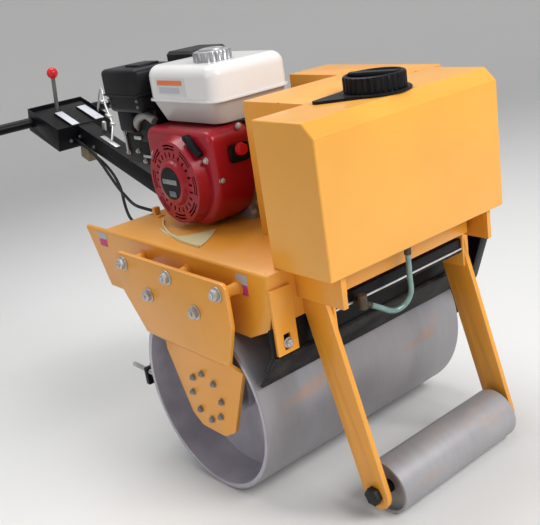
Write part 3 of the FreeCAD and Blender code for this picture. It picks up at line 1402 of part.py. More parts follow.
os.makedirs("parts", exist_ok=True)
for item, at in NODES:
    item.Shape.exportStep(os.path.join("parts", item.Label + ".step"))
print("nose down by", round(nose_down, 3), "degrees; shifted by", middle)
print(len(NODES), "sub-parts; size", round(whole.XLength, 1), round(whole.YLength, 1), round(whole.ZLength, 1))
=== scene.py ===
import json
import math

import bpy
from mathutils import Matrix, Vector


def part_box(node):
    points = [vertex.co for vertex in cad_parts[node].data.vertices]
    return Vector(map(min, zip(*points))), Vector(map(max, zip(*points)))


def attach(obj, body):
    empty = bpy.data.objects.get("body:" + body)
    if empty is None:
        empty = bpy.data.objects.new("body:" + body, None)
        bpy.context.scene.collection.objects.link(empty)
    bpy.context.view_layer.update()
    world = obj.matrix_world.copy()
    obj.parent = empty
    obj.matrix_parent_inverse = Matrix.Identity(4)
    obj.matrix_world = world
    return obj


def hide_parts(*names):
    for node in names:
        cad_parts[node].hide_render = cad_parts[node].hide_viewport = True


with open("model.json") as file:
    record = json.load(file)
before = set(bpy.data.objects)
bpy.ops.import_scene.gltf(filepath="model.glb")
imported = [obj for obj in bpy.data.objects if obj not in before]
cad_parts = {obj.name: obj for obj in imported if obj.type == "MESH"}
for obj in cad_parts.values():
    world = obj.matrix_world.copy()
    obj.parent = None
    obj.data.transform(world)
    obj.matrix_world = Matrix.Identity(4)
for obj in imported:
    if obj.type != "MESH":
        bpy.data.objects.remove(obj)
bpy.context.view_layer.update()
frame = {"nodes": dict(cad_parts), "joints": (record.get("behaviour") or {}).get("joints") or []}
nodes = frame["nodes"]

# Camera: a hand-held shot from the front right corner, a little above the tank, with the
# machine leaning to the left in the picture. Its place is measured from the drum's axle,
# and its lens fits a picture of 540 by 525 pixels.
drum_low, drum_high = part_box("drum")
axle = (drum_low + drum_high) / 2
CAMERA_FROM_AXLE = Vector((1.4948, -1.1496, 0.7379))
LOOK_AZIMUTH = math.radians(-36.294)
LOOK_DOWN = math.radians(15.401)
LEAN = math.radians(-11.898)
LENS, SENSOR = 56.87, 36

look = Vector((-math.cos(LOOK_DOWN) * math.cos(LOOK_AZIMUTH),
               -math.cos(LOOK_DOWN) * math.sin(LOOK_AZIMUTH),
               -math.sin(LOOK_DOWN)))
level_right = look.cross(Vector((0, 0, 1))).normalized()
level_up = level_right.cross(look)
right = math.cos(LEAN) * level_right + math.sin(LEAN) * level_up
up = math.cos(LEAN) * level_up - math.sin(LEAN) * level_right
camera_turn = Matrix((right, up, -look)).transposed().to_4x4()
bpy.ops.object.camera_add()
camera = bpy.context.object
camera.name = "camera"
camera.matrix_world = Matrix.Translation(axle + CAMERA_FROM_AXLE) @ camera_turn
camera.data.lens = LENS
camera.data.sensor_width = SENSOR
bpy.context.scene.camera = camera
bpy.context.scene.view_settings.view_transform = "Standard"

# Cords: two black control cables that hang from the control box to the deck, and the clear
# hose from the tank's outlet to the spray bar's tap.
MM = 0.001
GUIDE_AHEAD, GUIDE_BELOW = 399, 124

# Points are in millimetres on the level machine, from the drum's axle. Parking turns the
# machine nose down about that axle, until the guide roller stands on the ground.
joint_spots = {joint["child"]: Vector(joint["pos_m"]) for joint in frame["joints"]}
parked_run = joint_spots["guide_roller"] - joint_spots["drum"]
nose_down = math.atan2(-parked_run.z, parked_run.x) - math.atan2(GUIDE_BELOW, GUIDE_AHEAD)
park = Matrix.Translation(axle) @ Matrix.Rotation(nose_down, 4, "Y")


def cord_curve(name, radius, points, at):
    """A smooth round cord along control points, in millimetres, carried by a matrix."""
    curve = bpy.data.curves.new(name, "CURVE")
    curve.dimensions = "3D"
    curve.bevel_depth = 1
    curve.bevel_resolution = 6
    curve.resolution_u = 12
    curve.use_fill_caps = True
    spline = curve.splines.new("NURBS")
    spline.points.add(len(points) - 1)
    for spot, point in zip(spline.points, points):
        spot.co = (at @ (Vector(point) * MM)).to_4d()
        spot.radius = radius * MM
    spline.order_u = 3
    spline.use_endpoint_u = True
    cord = bpy.data.objects.new(name, curve)
    bpy.context.collection.objects.link(cord)
    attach(cord, "frame")
    return cord


LONG_CABLE = [
    (-883.5, -38, 453.8), (-815, -38, 432.4), (-741, -48, 403), (-665, -66, 373), (-592, -86, 349),
    (-518, -107, 338), (-446, -131, 334), (-377, -150, 339), (-311, -150, 339),
]
SHORT_CABLE = [
    (-887.5, -32, 440.8), (-815, -32, 418.1), (-740, -34, 391), (-680, -42, 362), (-635, -54, 330),
    (-590, -78, 307), (-530, -107, 296), (-466, -136, 294), (-406, -154, 292), (-350, -154, 292),
]
HOSE = [
    (371, -21, 304), (371, -21, 281), (372, -23, 257), (374, -23, 232), (372.5, -29.7, 217),
    (369.8, -41.9, 206.2), (366.4, -57.4, 201.6), (362.8, -73.3, 204), (358.4, -93.3, 218),
    (353.8, -113.8, 230),
]
CORDS = [
    # name, radius, points, node that it stands for, length, record slot
    ("cable_long", 4, LONG_CABLE, "control_cable_1", 0.606, "black_plastic"),
    ("cable_short", 4, SHORT_CABLE, "control_cable_2", 0.590, "black_plastic"),
    ("clear_hose", 5.5, HOSE, "water_hose", 0.186, "hose_plastic"),
]
cords = {}
for name, radius, points, node, length, slot in CORDS:
    cord = cords[name] = cord_curve(name, radius, points, park)
    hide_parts(node)

# Drum: a rolled steel shell with a web welded inside each end, all bare. Its rolling face
# is ground grey with marks round it, and inside it has gone dark and purplish.


class Wire:
    """One output of a shader node. Sums and products of wires add their Math nodes."""

    def __init__(self, tree, socket):
        self.tree = tree
        self.socket = socket

    def node(self, kind, settings=None, sockets=None, output=0):
        made = self.tree.nodes.new("ShaderNode" + kind)
        for name, value in (settings or {}).items():
            setattr(made, name, value)
        for name, value in (sockets or {}).items():
            if isinstance(value, Wire):
                self.tree.links.new(value.socket, made.inputs[name])
            else:
                made.inputs[name].default_value = value
        return Wire(self.tree, made.outputs[output])

    def maths(self, operation, *values):
        return self.node("Math", {"operation": operation}, dict(enumerate(values)))

    def __add__(self, other):
        return self.maths("ADD", self, other)

    def __sub__(self, other):
        return self.maths("SUBTRACT", self, other)

    def __rsub__(self, other):
        return self.maths("SUBTRACT", other, self)

    def __mul__(self, other):
        return self.maths("MULTIPLY", self, other)

    __radd__ = __add__
    __rmul__ = __mul__

    def limited(self, low, high):
        """This value spread from low..high to 0..1, and held there."""
        return self.node("MapRange", {"clamp": True}, {"Value": self, "From Min": low, "From Max": high})

    def noise(self, scale, detail=4, stretch=(1, 1, 1)):
        spread = self.node("Mapping", {}, {"Vector": self, "Scale": stretch})
        return spread.node("TexNoise", {}, {"Vector": spread, "Scale": scale, "Detail": detail})

    def blend(self, first, second):
        """The first colour where this mask is 0, and the second where it is 1."""
        return self.node("Mix", {"data_type": "RGBA"}, {0: self, 6: first, 7: second}, 2)

    def bump(self, strength, distance):
        return self.node("Bump", {}, {"Strength": strength, "Distance": distance, "Height": self})

    def off_axis(self, spot, plane):
        """Distance from a line through spot that is square to the plane's two axes."""
        apart = self.node("VectorMath", {"operation": "SUBTRACT"}, {0: self, 1: tuple(spot)})
        first, second = (apart.node("SeparateXYZ", {}, {0: apart}, "XYZ".index(axis)) for axis in plane)
        return self.maths("SQRT", first * first + second * second)

    def along_machine(self, direction):
        """Distance from the drum's axle along one of the level machine's axes, in metres."""
        spot = self.node("VectorMath", {"operation": "SUBTRACT"}, {0: self, 1: tuple(axle)})
        line = park.to_3x3() @ Vector(direction)
        return spot.node("VectorMath", {"operation": "DOT_PRODUCT"}, {0: spot, 1: tuple(line)}, 1)


def new_finish(name):
    """An empty material and its object coordinates, ready for its shader's sockets."""
    material = bpy.data.materials.new(name)
    material.use_nodes = True
    tree = material.node_tree
    return material, Wire(tree, tree.nodes.new("ShaderNodeTexCoord").outputs["Object"])


def feed(material, **sockets):
    """Set or link the main shader's sockets, named with underscores for spaces."""
    shader = material.node_tree.nodes["Principled BSDF"]
    for name, value in sockets.items():
        target = shader.inputs[name.replace("_", " ")]
        if isinstance(value, Wire):
            material.node_tree.links.new(value.socket, target)
        else:
            target.default_value = value
    return material


def shades(colour, *scales):
    """A colour made darker or lighter by each scale."""
    return [(*[scale * part for part in colour], 1) for scale in scales]


def alone(piece):
    """Select one piece and nothing else."""
    bpy.ops.object.select_all(action="DESELECT")
    piece.select_set(True)
    bpy.context.view_layer.objects.active = piece
    return piece


def applied(piece, kind, **settings):
    """Add one modifier to a piece and apply it."""
    alone(piece)
    modifier = piece.modifiers.new(kind.lower(), kind)
    for name, value in settings.items():
        setattr(modifier, name, value)
    bpy.ops.object.modifier_apply(modifier=modifier.name)
    return piece


def finished(piece, name, body, material, smooth=35):
    """Shade and name a piece, and give it its body and its material."""
    alone(piece)
    bpy.ops.object.shade_smooth_by_angle(angle=math.radians(smooth))
    piece.name = name
    piece.data.name = name
    piece.data.materials.clear()
    piece.data.materials.append(material)
    for face in piece.data.polygons:
        face.material_index = 0
    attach(piece, body)
    return piece


def dressed(node, body, material, bevel=1.5, segments=2, smooth=35):
    """A merged copy of a CAD node that stands for it, with its sharp edges rounded by a
    bevel in millimetres. The bevel's own faces are marked, for paint that wears there
    and for a painted highlight along the edges."""
    piece = bpy.data.objects.new(node + "_dressed", nodes[node].data.copy())
    bpy.context.collection.objects.link(piece)
    alone(piece)
    bpy.ops.object.mode_set(mode="EDIT")
    bpy.ops.mesh.select_all(action="SELECT")
    bpy.ops.mesh.remove_doubles(threshold=0.02 * MM)
    bpy.ops.mesh.dissolve_limited(angle_limit=math.radians(0.5))
    bpy.ops.object.mode_set(mode="OBJECT")
    bpy.ops.mesh.customdata_custom_splitnormals_clear()
    piece.data.materials.clear()
    for _ in range(2):
        piece.data.materials.append(material)
    if bevel:
        applied(piece, "BEVEL", width=bevel * MM, segments=segments, limit_method="ANGLE",
                angle_limit=math.radians(smooth), material=1, use_clamp_overlap=True)
    worn = [float(face.material_index == 1) for face in piece.data.polygons]
    piece.data.attributes.new("edge", "FLOAT", "FACE").data.foreach_set("value", worn)
    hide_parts(node)
    return finished(piece, node + "_dressed", body, material, smooth)


RUST = (0.46, 0.235, 0.12, 1)


def bare_steel(name, colour, rust_from, metallic=0.35):
    """Ground steel with marks along its travel and faint patches of brown rust."""
    material, here = new_finish(name)
    cloud = here.noise(5, 5)
    mark = here.noise(16, 5, (1, 5, 1))
    speck = here.noise(220, 2)
    streak = here.noise(16, 6, (1, 0.22, 1))
    rust = (cloud * 0.3 + streak * 0.7 + speck * 0.05).limited(rust_from, rust_from + 0.1)
    dark, pale = shades(colour, 0.86, 1.08)
    ground = (cloud * 0.75 + mark * 0.25).limited(0.36, 0.64).blend(dark, pale)
    base = (rust * 0.55).blend(ground, RUST)
    worn = dict(Metallic=metallic - rust * metallic, Roughness=0.42 + mark * 0.1 + rust * 0.25,
                Normal=(mark * 0.5 + speck * 0.5).bump(0.1, 0.0004))
    return material, here, base, worn


FACE_STARTS = (0.2085, 0.2105)
SCALE_DARK, SCALE_PALE = (0.40, 0.38, 0.44, 1), (0.58, 0.555, 0.62, 1)
drum_steel, here, ground, worn = bare_steel("drum_steel_ground", (0.315, 0.305, 0.325), 0.575)
inside = 1 - here.off_axis(axle, "XZ").limited(*FACE_STARTS)
scale_marks = here.noise(11, 6).limited(0.35, 0.7).blend(SCALE_DARK, SCALE_PALE)
feed(drum_steel, Base_Color=inside.blend(ground, scale_marks), **worn)
dressed("drum", "drum", drum_steel, bevel=0.8, segments=1)

# Hubs: an iron casting bolted inside each carrier plate's leg. Its journal runs in the
# bearing boss on the drum's web. It was left as cast and is dull with dust.


def cast_metal(name, colour, metallic=0.25, roughness=0.6):
    """Cast metal, with the grain of its mould and darker and paler patches at random."""
    material, here = new_finish(name)
    cloud = here.noise(9, 4)
    grain = here.noise(420, 3)
    base = (cloud * 0.6 + grain * 0.4).limited(0.35, 0.65).blend(*shades(colour, 0.7, 1.2))
    return feed(material, Base_Color=base, Metallic=metallic, Roughness=roughness - 0.1 + cloud * 0.2,
                Normal=grain.bump(0.35, 0.0004))


SIDES = (("right", -1), ("left", 1))
hub_iron = cast_metal("hub_iron", (0.16, 0.16, 0.165))
for side, _ in SIDES:
    dressed("hub_" + side, "frame", hub_iron, bevel=2)

# Carrier plates: thick cut plates that step in past the drum's rim, with round corners.
# They are sprayed the same yellow as the frame, which is thin along the edges and painted
# paler there, partly as a painted highlight.
YELLOW = (0.80, 0.335, 0.028)
YELLOW_DUST = (0.55, 0.40, 0.22, 1)
CHIPPED_STEEL = (0.20, 0.17, 0.15, 1)


def sprayed(name, colour, gloss=0.36, coat=0.2, dust=YELLOW_DUST, dusty=0.22, chipped=0.66, shine=0.5):
    """Sprayed paint: soft clouds in its colour, a fine orange-peel skin, dust on faces
    that look up, and edges where it has gone thin or chipped to the metal. The thin
    edges are also painted paler as a painted highlight."""
    material, here = new_finish(name)
    cloud = here.noise(3.2, 3)
    grit = here.noise(60, 5)
    peel = here.noise(520, 1)
    edge = here.node("Attribute", {"attribute_name": "edge"}, {}, 2)
    normal = Wire(here.tree, here.tree.nodes.new("ShaderNodeNewGeometry").outputs["Normal"])
    upward = normal.node("SeparateXYZ", {}, {0: normal}, 2).limited(0.6, 0.97)
    # Paler paint on the bevels' faces: partly thin paint, partly a painted highlight along the edges.
    thin_paint_and_highlight = tuple(0.9 * part + 0.12 * max(colour) for part in colour) + (1,)
    paint = cloud.limited(0.35, 0.65).blend(*shades(colour, 0.93, 1.06))
    paint = (edge * 0.5).blend(paint, thin_paint_and_highlight)
    settled_dust = upward * (cloud * 0.4 + here.noise(14, 5) * 0.6).limited(0.36, 0.68) * dusty
    paint = settled_dust.blend(paint, dust)
    chips = edge * grit.limited(chipped, chipped + 0.04)
    paint = chips.blend(paint, CHIPPED_STEEL)
    return feed(material, Base_Color=paint, Roughness=gloss + settled_dust * 0.8 + chips * 0.3 + cloud * 0.06,
                Specular_IOR_Level=shine, Coat_Weight=coat - settled_dust * coat, Coat_Roughness=0.12,
                Normal=(peel * 0.5 + grit * 0.5).bump(0.05, 0.0005))


yellow_paint = sprayed("yellow_paint_sprayed", YELLOW)
for side, _ in SIDES:
    dressed("carrier_plate_" + side, "frame", yellow_paint, bevel=1.6)

# Plate bolts: five large bolts with washers hold the right carrier plate to its rubber
# mounts, and a ring of eight smaller ones holds each hub. All are zinc plated, the small
# ones duller.


def plated(name, colour, roughness=0.34):
    """Zinc plate with a faint bloom and dull spots."""
    material, here = new_finish(name)
    bloom = here.noise(30, 4)
    fine = here.noise(400, 2)
    return feed(material, Base_Color=bloom.limited(0.3, 0.7).blend(*shades(colour, 0.72, 1.1)), Metallic=0.75,
                Roughness=roughness + bloom * 0.2, Normal=fine.bump(0.1, 0.0002))


def joined(pieces):
    """Join pieces into the first of them."""
    alone(pieces[0])
    for piece in pieces:
        piece.select_set(True)
    bpy.ops.object.join()
    return bpy.context.object


def fixed(piece, at=park):
    """Apply a piece's own place, then carry its mesh from the level machine to the park."""
    alone(piece)
    bpy.ops.object.transform_apply(location=True, rotation=True, scale=True)
    piece.data.transform(at)
    return piece


def facing(direction, spot):
    """Matrix that stands a piece drawn along +Z on a spot in millimetres, facing out."""
    turn = Vector(direction).to_track_quat("Z", "X").to_matrix().to_4x4()
    return Matrix.Translation(Vector(spot) * MM) @ turn


def turned(profile, sides=32):
    """A solid turned about +Z from (radius, height) pairs in millimetres, low to high."""
    bpy.ops.mesh.primitive_circle_add(vertices=sides, radius=profile[0][0] * MM, location=(0, 0, 0))
    piece = bpy.context.object
    bpy.ops.object.mode_set(mode="EDIT")
    bpy.ops.mesh.select_mode(type="VERT")
    bpy.ops.mesh.select_all(action="SELECT")
    bpy.ops.transform.translate(value=(0, 0, profile[0][1] * MM))
    for (radius, height), (wider, higher) in zip(profile, profile[1:]):
        bpy.ops.mesh.extrude_edges_move(TRANSFORM_OT_translate={"value": (0, 0, (higher - height) * MM)})
        bpy.ops.transform.resize(value=(wider / radius, wider / radius, 1), center_override=(0, 0, 0))
    bpy.ops.mesh.edge_face_add()
    bpy.ops.mesh.select_all(action="DESELECT")
    bpy.ops.object.mode_set(mode="OBJECT")
    for vertex in piece.data.vertices:
        vertex.select = vertex.index < sides
    bpy.ops.object.mode_set(mode="EDIT")
    bpy.ops.mesh.edge_face_add()
    bpy.ops.mesh.select_all(action="SELECT")
    bpy.ops.mesh.normals_make_consistent(inside=False)
    bpy.ops.object.mode_set(mode="OBJECT")
    return piece


def hex_bolt(across, height, washer):
    """One bolt head on its washer, standing on the origin: flat across, head and washer."""
    head = turned([(0.57 * across, washer), (0.57 * across, washer + 0.7 * height),
                   (0.44 * across, washer + height)], 6)
    ring = turned([(0.72 * across, 0), (0.72 * across, washer)], 24)
    stud = turned([(0.26 * across, washer + height), (0.26 * across, washer + 1.25 * height)], 12)
    return applied(joined([head, ring, stud]), "BEVEL", width=0.05 * across * MM, segments=2,
                   limit_method="ANGLE", angle_limit=math.radians(40))


TURN_EACH = 0.4


def repeated(pattern, name, places, material, body="frame", at=park):
    """Copies of one pattern at each place, a bit turned from each other, as one piece."""
    made = []
    for number, place in enumerate(places):
        copy = bpy.data.objects.new(f"{name}_{number}", pattern.data.copy())
        copy.data.transform(place @ Matrix.Rotation(TURN_EACH * number, 4, "Z"))
        bpy.context.collection.objects.link(copy)
        made.append(copy)
    bpy.data.objects.remove(pattern)
    return finished(fixed(joined(made), at), name, body, material)


zinc = plated("zinc_plate_bolts", (0.56, 0.56, 0.55))
nut_zinc = plated("zinc_plate_nuts", (0.36, 0.35, 0.34), 0.4)
PLATE_FACE, LEG_FACE = 330, 290
MOUNT_SPOTS = [(-176, 292), (-4, 292), (168, 292), (-90, 235), (82, 235)]
HUB_RING, HUB_BOLTS, FIRST_AT = 54.5, 8, 5
repeated(hex_bolt(22, 11, 3), "plate_bolts_right",
         [facing((0, -1, 0), (x, -PLATE_FACE, z)) for x, z in MOUNT_SPOTS], zinc)
hub_turns = [math.radians(FIRST_AT + 360 / HUB_BOLTS * number) for number in range(HUB_BOLTS)]
for side, sign in SIDES:
    hub_spots = [(HUB_RING * math.cos(turn), sign * LEG_FACE, HUB_RING * math.sin(turn))
                 for turn in hub_turns]
    repeated(hex_bolt(12, 7, 1.6), "hub_bolts_" + side, [facing((0, sign, 0), spot) for spot in hub_spots],
             nut_zinc)

# Rubber mounts: five rubber blocks on each side between the frame and the carrier plate,
# each bonded to a thin disc at both ends. The frame was sprayed with them in their place.


def rubber(name, colour=(0.012, 0.012, 0.013), dust=0.2):
    """Moulded rubber, matt, with pale dust clinging to it."""
    material, here = new_finish(name)
    film = (here.noise(25, 5) * 0.7 + here.noise(260, 2) * 0.3).limited(0.4, 0.72) * dust
    base = film.blend((*colour, 1), (0.17, 0.155, 0.135, 1))
    return feed(material, Base_Color=base, Roughness=0.68 + film * 0.4, Specular_IOR_Level=0.15,
                Normal=here.noise(350, 3).bump(0.15, 0.0003))


sprayed_rubber, here = new_finish("mount_rubber_sprayed")
thin_yellow = here.noise(6, 3).blend((0.62, 0.25, 0.02, 1), (*YELLOW, 1))
feed(sprayed_rubber, Base_Color=thin_yellow, Roughness=0.6, Normal=here.noise(350, 3).bump(0.2, 0.0004))
MOUNT_INNER, MOUNT_DROP = 280, 4
MOUNT_WAIST = [(12, 0), (13, 2), (11.5, 12), (11, 20), (11.5, 28), (13, 38), (12, 40)]
DISC_RADIUS, DISC_THICK = 16, 2.6
DISC_FACES = (280.2, 317.2)
for side, sign in SIDES:
    block_places = [facing((0, sign, 0), (x, sign * MOUNT_INNER, z - MOUNT_DROP)) for x, z in MOUNT_SPOTS]
    blocks = repeated(turned(MOUNT_WAIST), "mount_blocks_" + side, block_places,
                      sprayed_rubber)
    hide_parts("rubber_mounts_" + side)
    disc_places = [facing((0, sign, 0), (x, sign * face, z - MOUNT_DROP))
                   for x, z in MOUNT_SPOTS for face in DISC_FACES]
    repeated(turned([(DISC_RADIUS, 0), (DISC_RADIUS, DISC_THICK)]), "mount_discs_" + side, disc_places,
             yellow_paint)

# Drive cover: a black sheet pan over the belt that runs down to the drum, held on the left
# carrier plate by five bolts.
black_paint = sprayed("black_paint_sprayed", (0.0045, 0.0045, 0.006), gloss=0.34, coat=0.02,
                      dust=(0.08, 0.072, 0.066, 1), dusty=0.15, chipped=0.74, shine=0.14)
dressed("drive_cover", "frame", black_paint, bevel=1)
PAN_FACE = 334
PAN_BOLTS = [(250, 202), (278, 280), (60, 280), (-30, 30), (120, -20)]
repeated(hex_bolt(15, 8, 2), "drive_cover_bolts", [facing((0, 1, 0), (x, PAN_FACE, z)) for x, z in PAN_BOLTS],
         zinc)

# Deck and frame sides: one folded and welded sheet tray over the drum. Its long edges are
# soft folds that catch the light, and dust lies on the flat deck.
dressed("deck", "frame", yellow_paint, bevel=1.5)
for side, _ in SIDES:
    dressed("frame_side_" + side, "frame", yellow_paint, bevel=1.2)

# Front shelf and roller arms: gussets welded under the tank, tied by a flat strip with an
# end plate at each side, and two flat bars that reach down to the guide roller's axle.


def bevelled_block(size, spot, bevel, segments=2):
    """A block of a size round a spot, all in millimetres, with bevelled edges."""
    bpy.ops.mesh.primitive_cube_add(size=1, location=Vector(spot) * MM)
    block = bpy.context.object
    block.scale = Vector(size) * MM
    bpy.ops.object.transform_apply(location=True, scale=True)
    return applied(block, "BEVEL", width=bevel * MM, segments=segments)


def shifted_above(piece, height, shift):
    """Move the vertices above a height, both in metres on the level machine."""
    for vertex in piece.data.vertices:
        spot = park.inverted() @ vertex.co
        if spot.z > height:
            vertex.co = park @ (spot + Vector(shift))


shelf = dressed("front_shelf", "frame", yellow_paint, bevel=1.5)
RAIL_CUT_SIZE, RAIL_CUT_SPOT = (16, 405.8, 76), (386, 0, 296)
rail_cutter = fixed(bevelled_block(RAIL_CUT_SIZE, RAIL_CUT_SPOT, 0.1, 1))
applied(shelf, "BOOLEAN", operation="DIFFERENCE", solver="EXACT", object=rail_cutter)
bpy.data.objects.remove(rail_cutter)
END_REAR, END_FRONT, END_SIDE = 272, 334, 189
END_FOOT, END_TOP = 200, 328
end_size = (END_FRONT - END_REAR, 6, END_TOP - END_FOOT)
end_spots = [((END_REAR + END_FRONT) / 2, sign * END_SIDE, (END_TOP + END_FOOT) / 2) for _, sign in SIDES]
cross_strip = [bevelled_block((6, 382, 50), (343, 0, 302.5), 1.2)]
cross_strip += [bevelled_block(end_size, spot, 1.5) for spot in end_spots]
finished(fixed(joined(cross_strip)), "shelf_cross_strip", "frame", yellow_paint)
ARM_HEAD, ARM_SHIFT = 0.305, (0.0032, 0, 0.0115)
for side, _ in SIDES:
    arm = dressed("roller_arm_" + side, "frame", yellow_paint, bevel=2)
    shifted_above(arm, ARM_HEAD, ARM_SHIFT)

# Guide roller: a short steel tube between two arms, bare and paler than the drum. It
# turns on a through bolt with a nut at each end, black with wear.
roller_steel, _, ground, worn = bare_steel("roller_steel_worn", (0.40, 0.39, 0.405), 0.61)
feed(roller_steel, Base_Color=ground, **worn)
dressed("guide_roller", "guide_roller", roller_steel, bevel=0.8, segments=1)
black_zinc = plated("axle_black_zinc", (0.035, 0.035, 0.038), 0.45)
dressed("guide_axle", "frame", black_zinc, bevel=1.2)

# Scrapers: black holders with a wiping blade in front of the drum and behind it. Slots in
# two yellow brackets set the front one. Hangers, welded feet and plated rods hold the
# rear one.
blade_rubber = rubber("blade_rubber", (0.015, 0.015, 0.017), 0.3)
dressed("front_scraper_holder", "frame", black_paint, bevel=1.2)
dressed("front_scraper_blade", "frame", blade_rubber, bevel=1)
dressed("front_scraper_brackets", "frame", yellow_paint, bevel=1.2)
HANGER_INBOARD = 62
hangers = dressed("rear_scraper_hangers", "frame", black_paint, bevel=1.2)
for vertex in hangers.data.vertices:
    vertex.co.y -= math.copysign(HANGER_INBOARD * MM, vertex.co.y)
feet = [bevelled_block((20, 72, 14), (-226, sign * 236, -32), 1.5) for _, sign in SIDES]
feet += [bevelled_block((14, 18, 44), (-286, sign * 268, -44), 1.5) for _, sign in SIDES]
finished(fixed(joined(feet)), "rear_scraper_feet", "frame", black_paint)
dressed("rear_scraper_blade", "frame", blade_rubber, bevel=1)
dressed("rear_scraper_rods", "frame", zinc, bevel=0.8)
SLOT_BOLT = (270, 258.5, 190)
slot_places = [facing((1, 0, 0), (SLOT_BOLT[0], sign * SLOT_BOLT[1], SLOT_BOLT[2])) for _, sign in SIDES]
repeated(hex_bolt(15, 8, 2), "scraper_slot_bolts", slot_places, zinc)

# Water tank: folded sheet with welded seams, the same yellow, glossy, with a sloped edge
# along the front of its top.
tank_paint = sprayed("yellow_paint_tank", (0.83, 0.375, 0.045), gloss=0.3, coat=0.3, dusty=0.15, chipped=0.7)
dressed("water_tank", "frame", tank_paint, bevel=2.5, segments=3)

# Tank cap: a black moulded screw cap with a ribbed rim and a sunk top with a grip bar
# across it. It stands on a flange with one long tapered tongue.


def plastic(name, colour, roughness=0.4, dust=0.2, shine=0.35):
    """Moulded plastic with a fine spark-eroded grain and a little dust."""
    material, here = new_finish(name)
    film = here.noise(22, 5).limited(0.45, 0.75) * dust
    base = film.blend((*colour, 1), (*[0.7 * part + 0.08 for part in colour], 1))
    return feed(material, Base_Color=base, Roughness=roughness + film * 0.6, Specular_IOR_Level=shine,
                Normal=here.noise(600, 2).bump(0.12, 0.0002))


def ribbed(piece, sides, low, high, share):
    """Draw in every second pair of wall edges between two heights, to make ribs."""
    slack = 0.01
    for vertex in piece.data.vertices:
        step = round(math.atan2(vertex.co.y, vertex.co.x) / (2 * math.pi) * sides)
        if step % 4 in (0, 1) and (low - slack) * MM < vertex.co.z < (high + slack) * MM:
            vertex.co.x *= share
            vertex.co.y *= share
    return piece


black_moulding = plastic("black_moulding", (0.006, 0.006, 0.008), 0.38, 0.1, 0.16)
CAP_SPOT, CAP_TURN = (0.310, 0, 0.608), math.radians(18)
CAP_SIDES = 128
CAP_WALL = [(57.5, 6), (59.5, 8), (59.5, 32), (58, 34.5), (55, 36), (51, 36), (49.5, 34), (49, 25)]
TONGUE_THICK, TONGUE_END = 5.5, (-39, -110, 0)
cap_parts = [
    turned([(66, 0), (68, 1.5), (68, 4.5), (66.5, 6)], 64),
    ribbed(turned(CAP_WALL, CAP_SIDES), CAP_SIDES, 8, 32, 0.955),
    bevelled_block((104, 16, 15), (0, 0, 31.5), 4, 3),
]
tongue_root = turned([(62, 0), (62, TONGUE_THICK)], 48)
tongue_end = turned([(11, 0), (11, TONGUE_THICK)], 24)
tongue_end.data.transform(Matrix.Translation(Vector(TONGUE_END) * MM))
tongue = joined([tongue_root, tongue_end])
bpy.ops.object.mode_set(mode="EDIT")
bpy.ops.mesh.select_all(action="SELECT")
bpy.ops.mesh.convex_hull()
bpy.ops.object.mode_set(mode="OBJECT")
tongue.data.transform(Matrix.Rotation(-CAP_TURN, 4, "Z"))
cap = joined(cap_parts + [tongue])
cap.data.transform(Matrix.Translation(CAP_SPOT) @ Matrix.Rotation(CAP_TURN, 4, "Z"))
finished(fixed(cap), "tank_cap_moulded", "frame", black_moulding)
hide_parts("tank_cap")

# Spray bar: a black angle between the arms, with a bright strip along its front that is a
# painted highlight on the angle's lower edge, and the spray pipe under it. A dull brass tap
# feeds it through the clear hose.
brass = plated("brass_fitting_dull", (0.11, 0.09, 0.06), 0.5)
dark_zinc = plated("zinc_plate_dull", (0.20, 0.20, 0.20), 0.42)
dressed("spray_bar", "frame", black_paint, bevel=0.8)
dressed("spray_pipe", "frame", dark_zinc, bevel=0.5)
dressed("spray_tap", "frame", brass, bevel=0.8)
dressed("tank_outlet", "frame", brass, bevel=0.8)
# The bright strip is a painted highlight along the angle's lower edge.
finished(fixed(bevelled_block((3, 378, 4), (330.8, 0, 240.5), 0.8)), "spray_bar_highlight_strip", "frame",
         plated("strip_painted_highlight", (0.72, 0.72, 0.72), 0.25))
cable_skin = plastic("cable_skin", (0.006, 0.006, 0.007), 0.42, 0.1, 0.15)
hose_skin, here = new_finish("hose_skin")
hose_tint = here.noise(40, 3).limited(0.3, 0.7).blend((0.12, 0.22, 0.205, 1), (0.19, 0.30, 0.28, 1))
feed(hose_skin, Base_Color=hose_tint, Roughness=0.22, Coat_Weight=0.5, Coat_Roughness=0.08)
for name, skin in (("cable_long", cable_skin), ("cable_short", cable_skin), ("clear_hose", hose_skin)):
    cords[name].data.materials.append(skin)

# Belt guard: a stepped sheet box in the frame's yellow over the belts and the cast gearbox,
# which it hides.
dressed("belt_guard", "frame", yellow_paint, bevel=1.8)
dressed("gearbox", "frame", hub_iron, bevel=4)

# Engine block: cast aluminium crankcase, finned cylinder and carburettor, left bare and
# oily grey.
engine_alloy = cast_metal("engine_alloy_cast", (0.34, 0.34, 0.335), 0.5, 0.5)
for node, bevel in (("engine_crankcase", 2), ("engine_cylinder", 0.6), ("carburettor", 2)):
    dressed(node, "frame", engine_alloy, bevel=bevel)

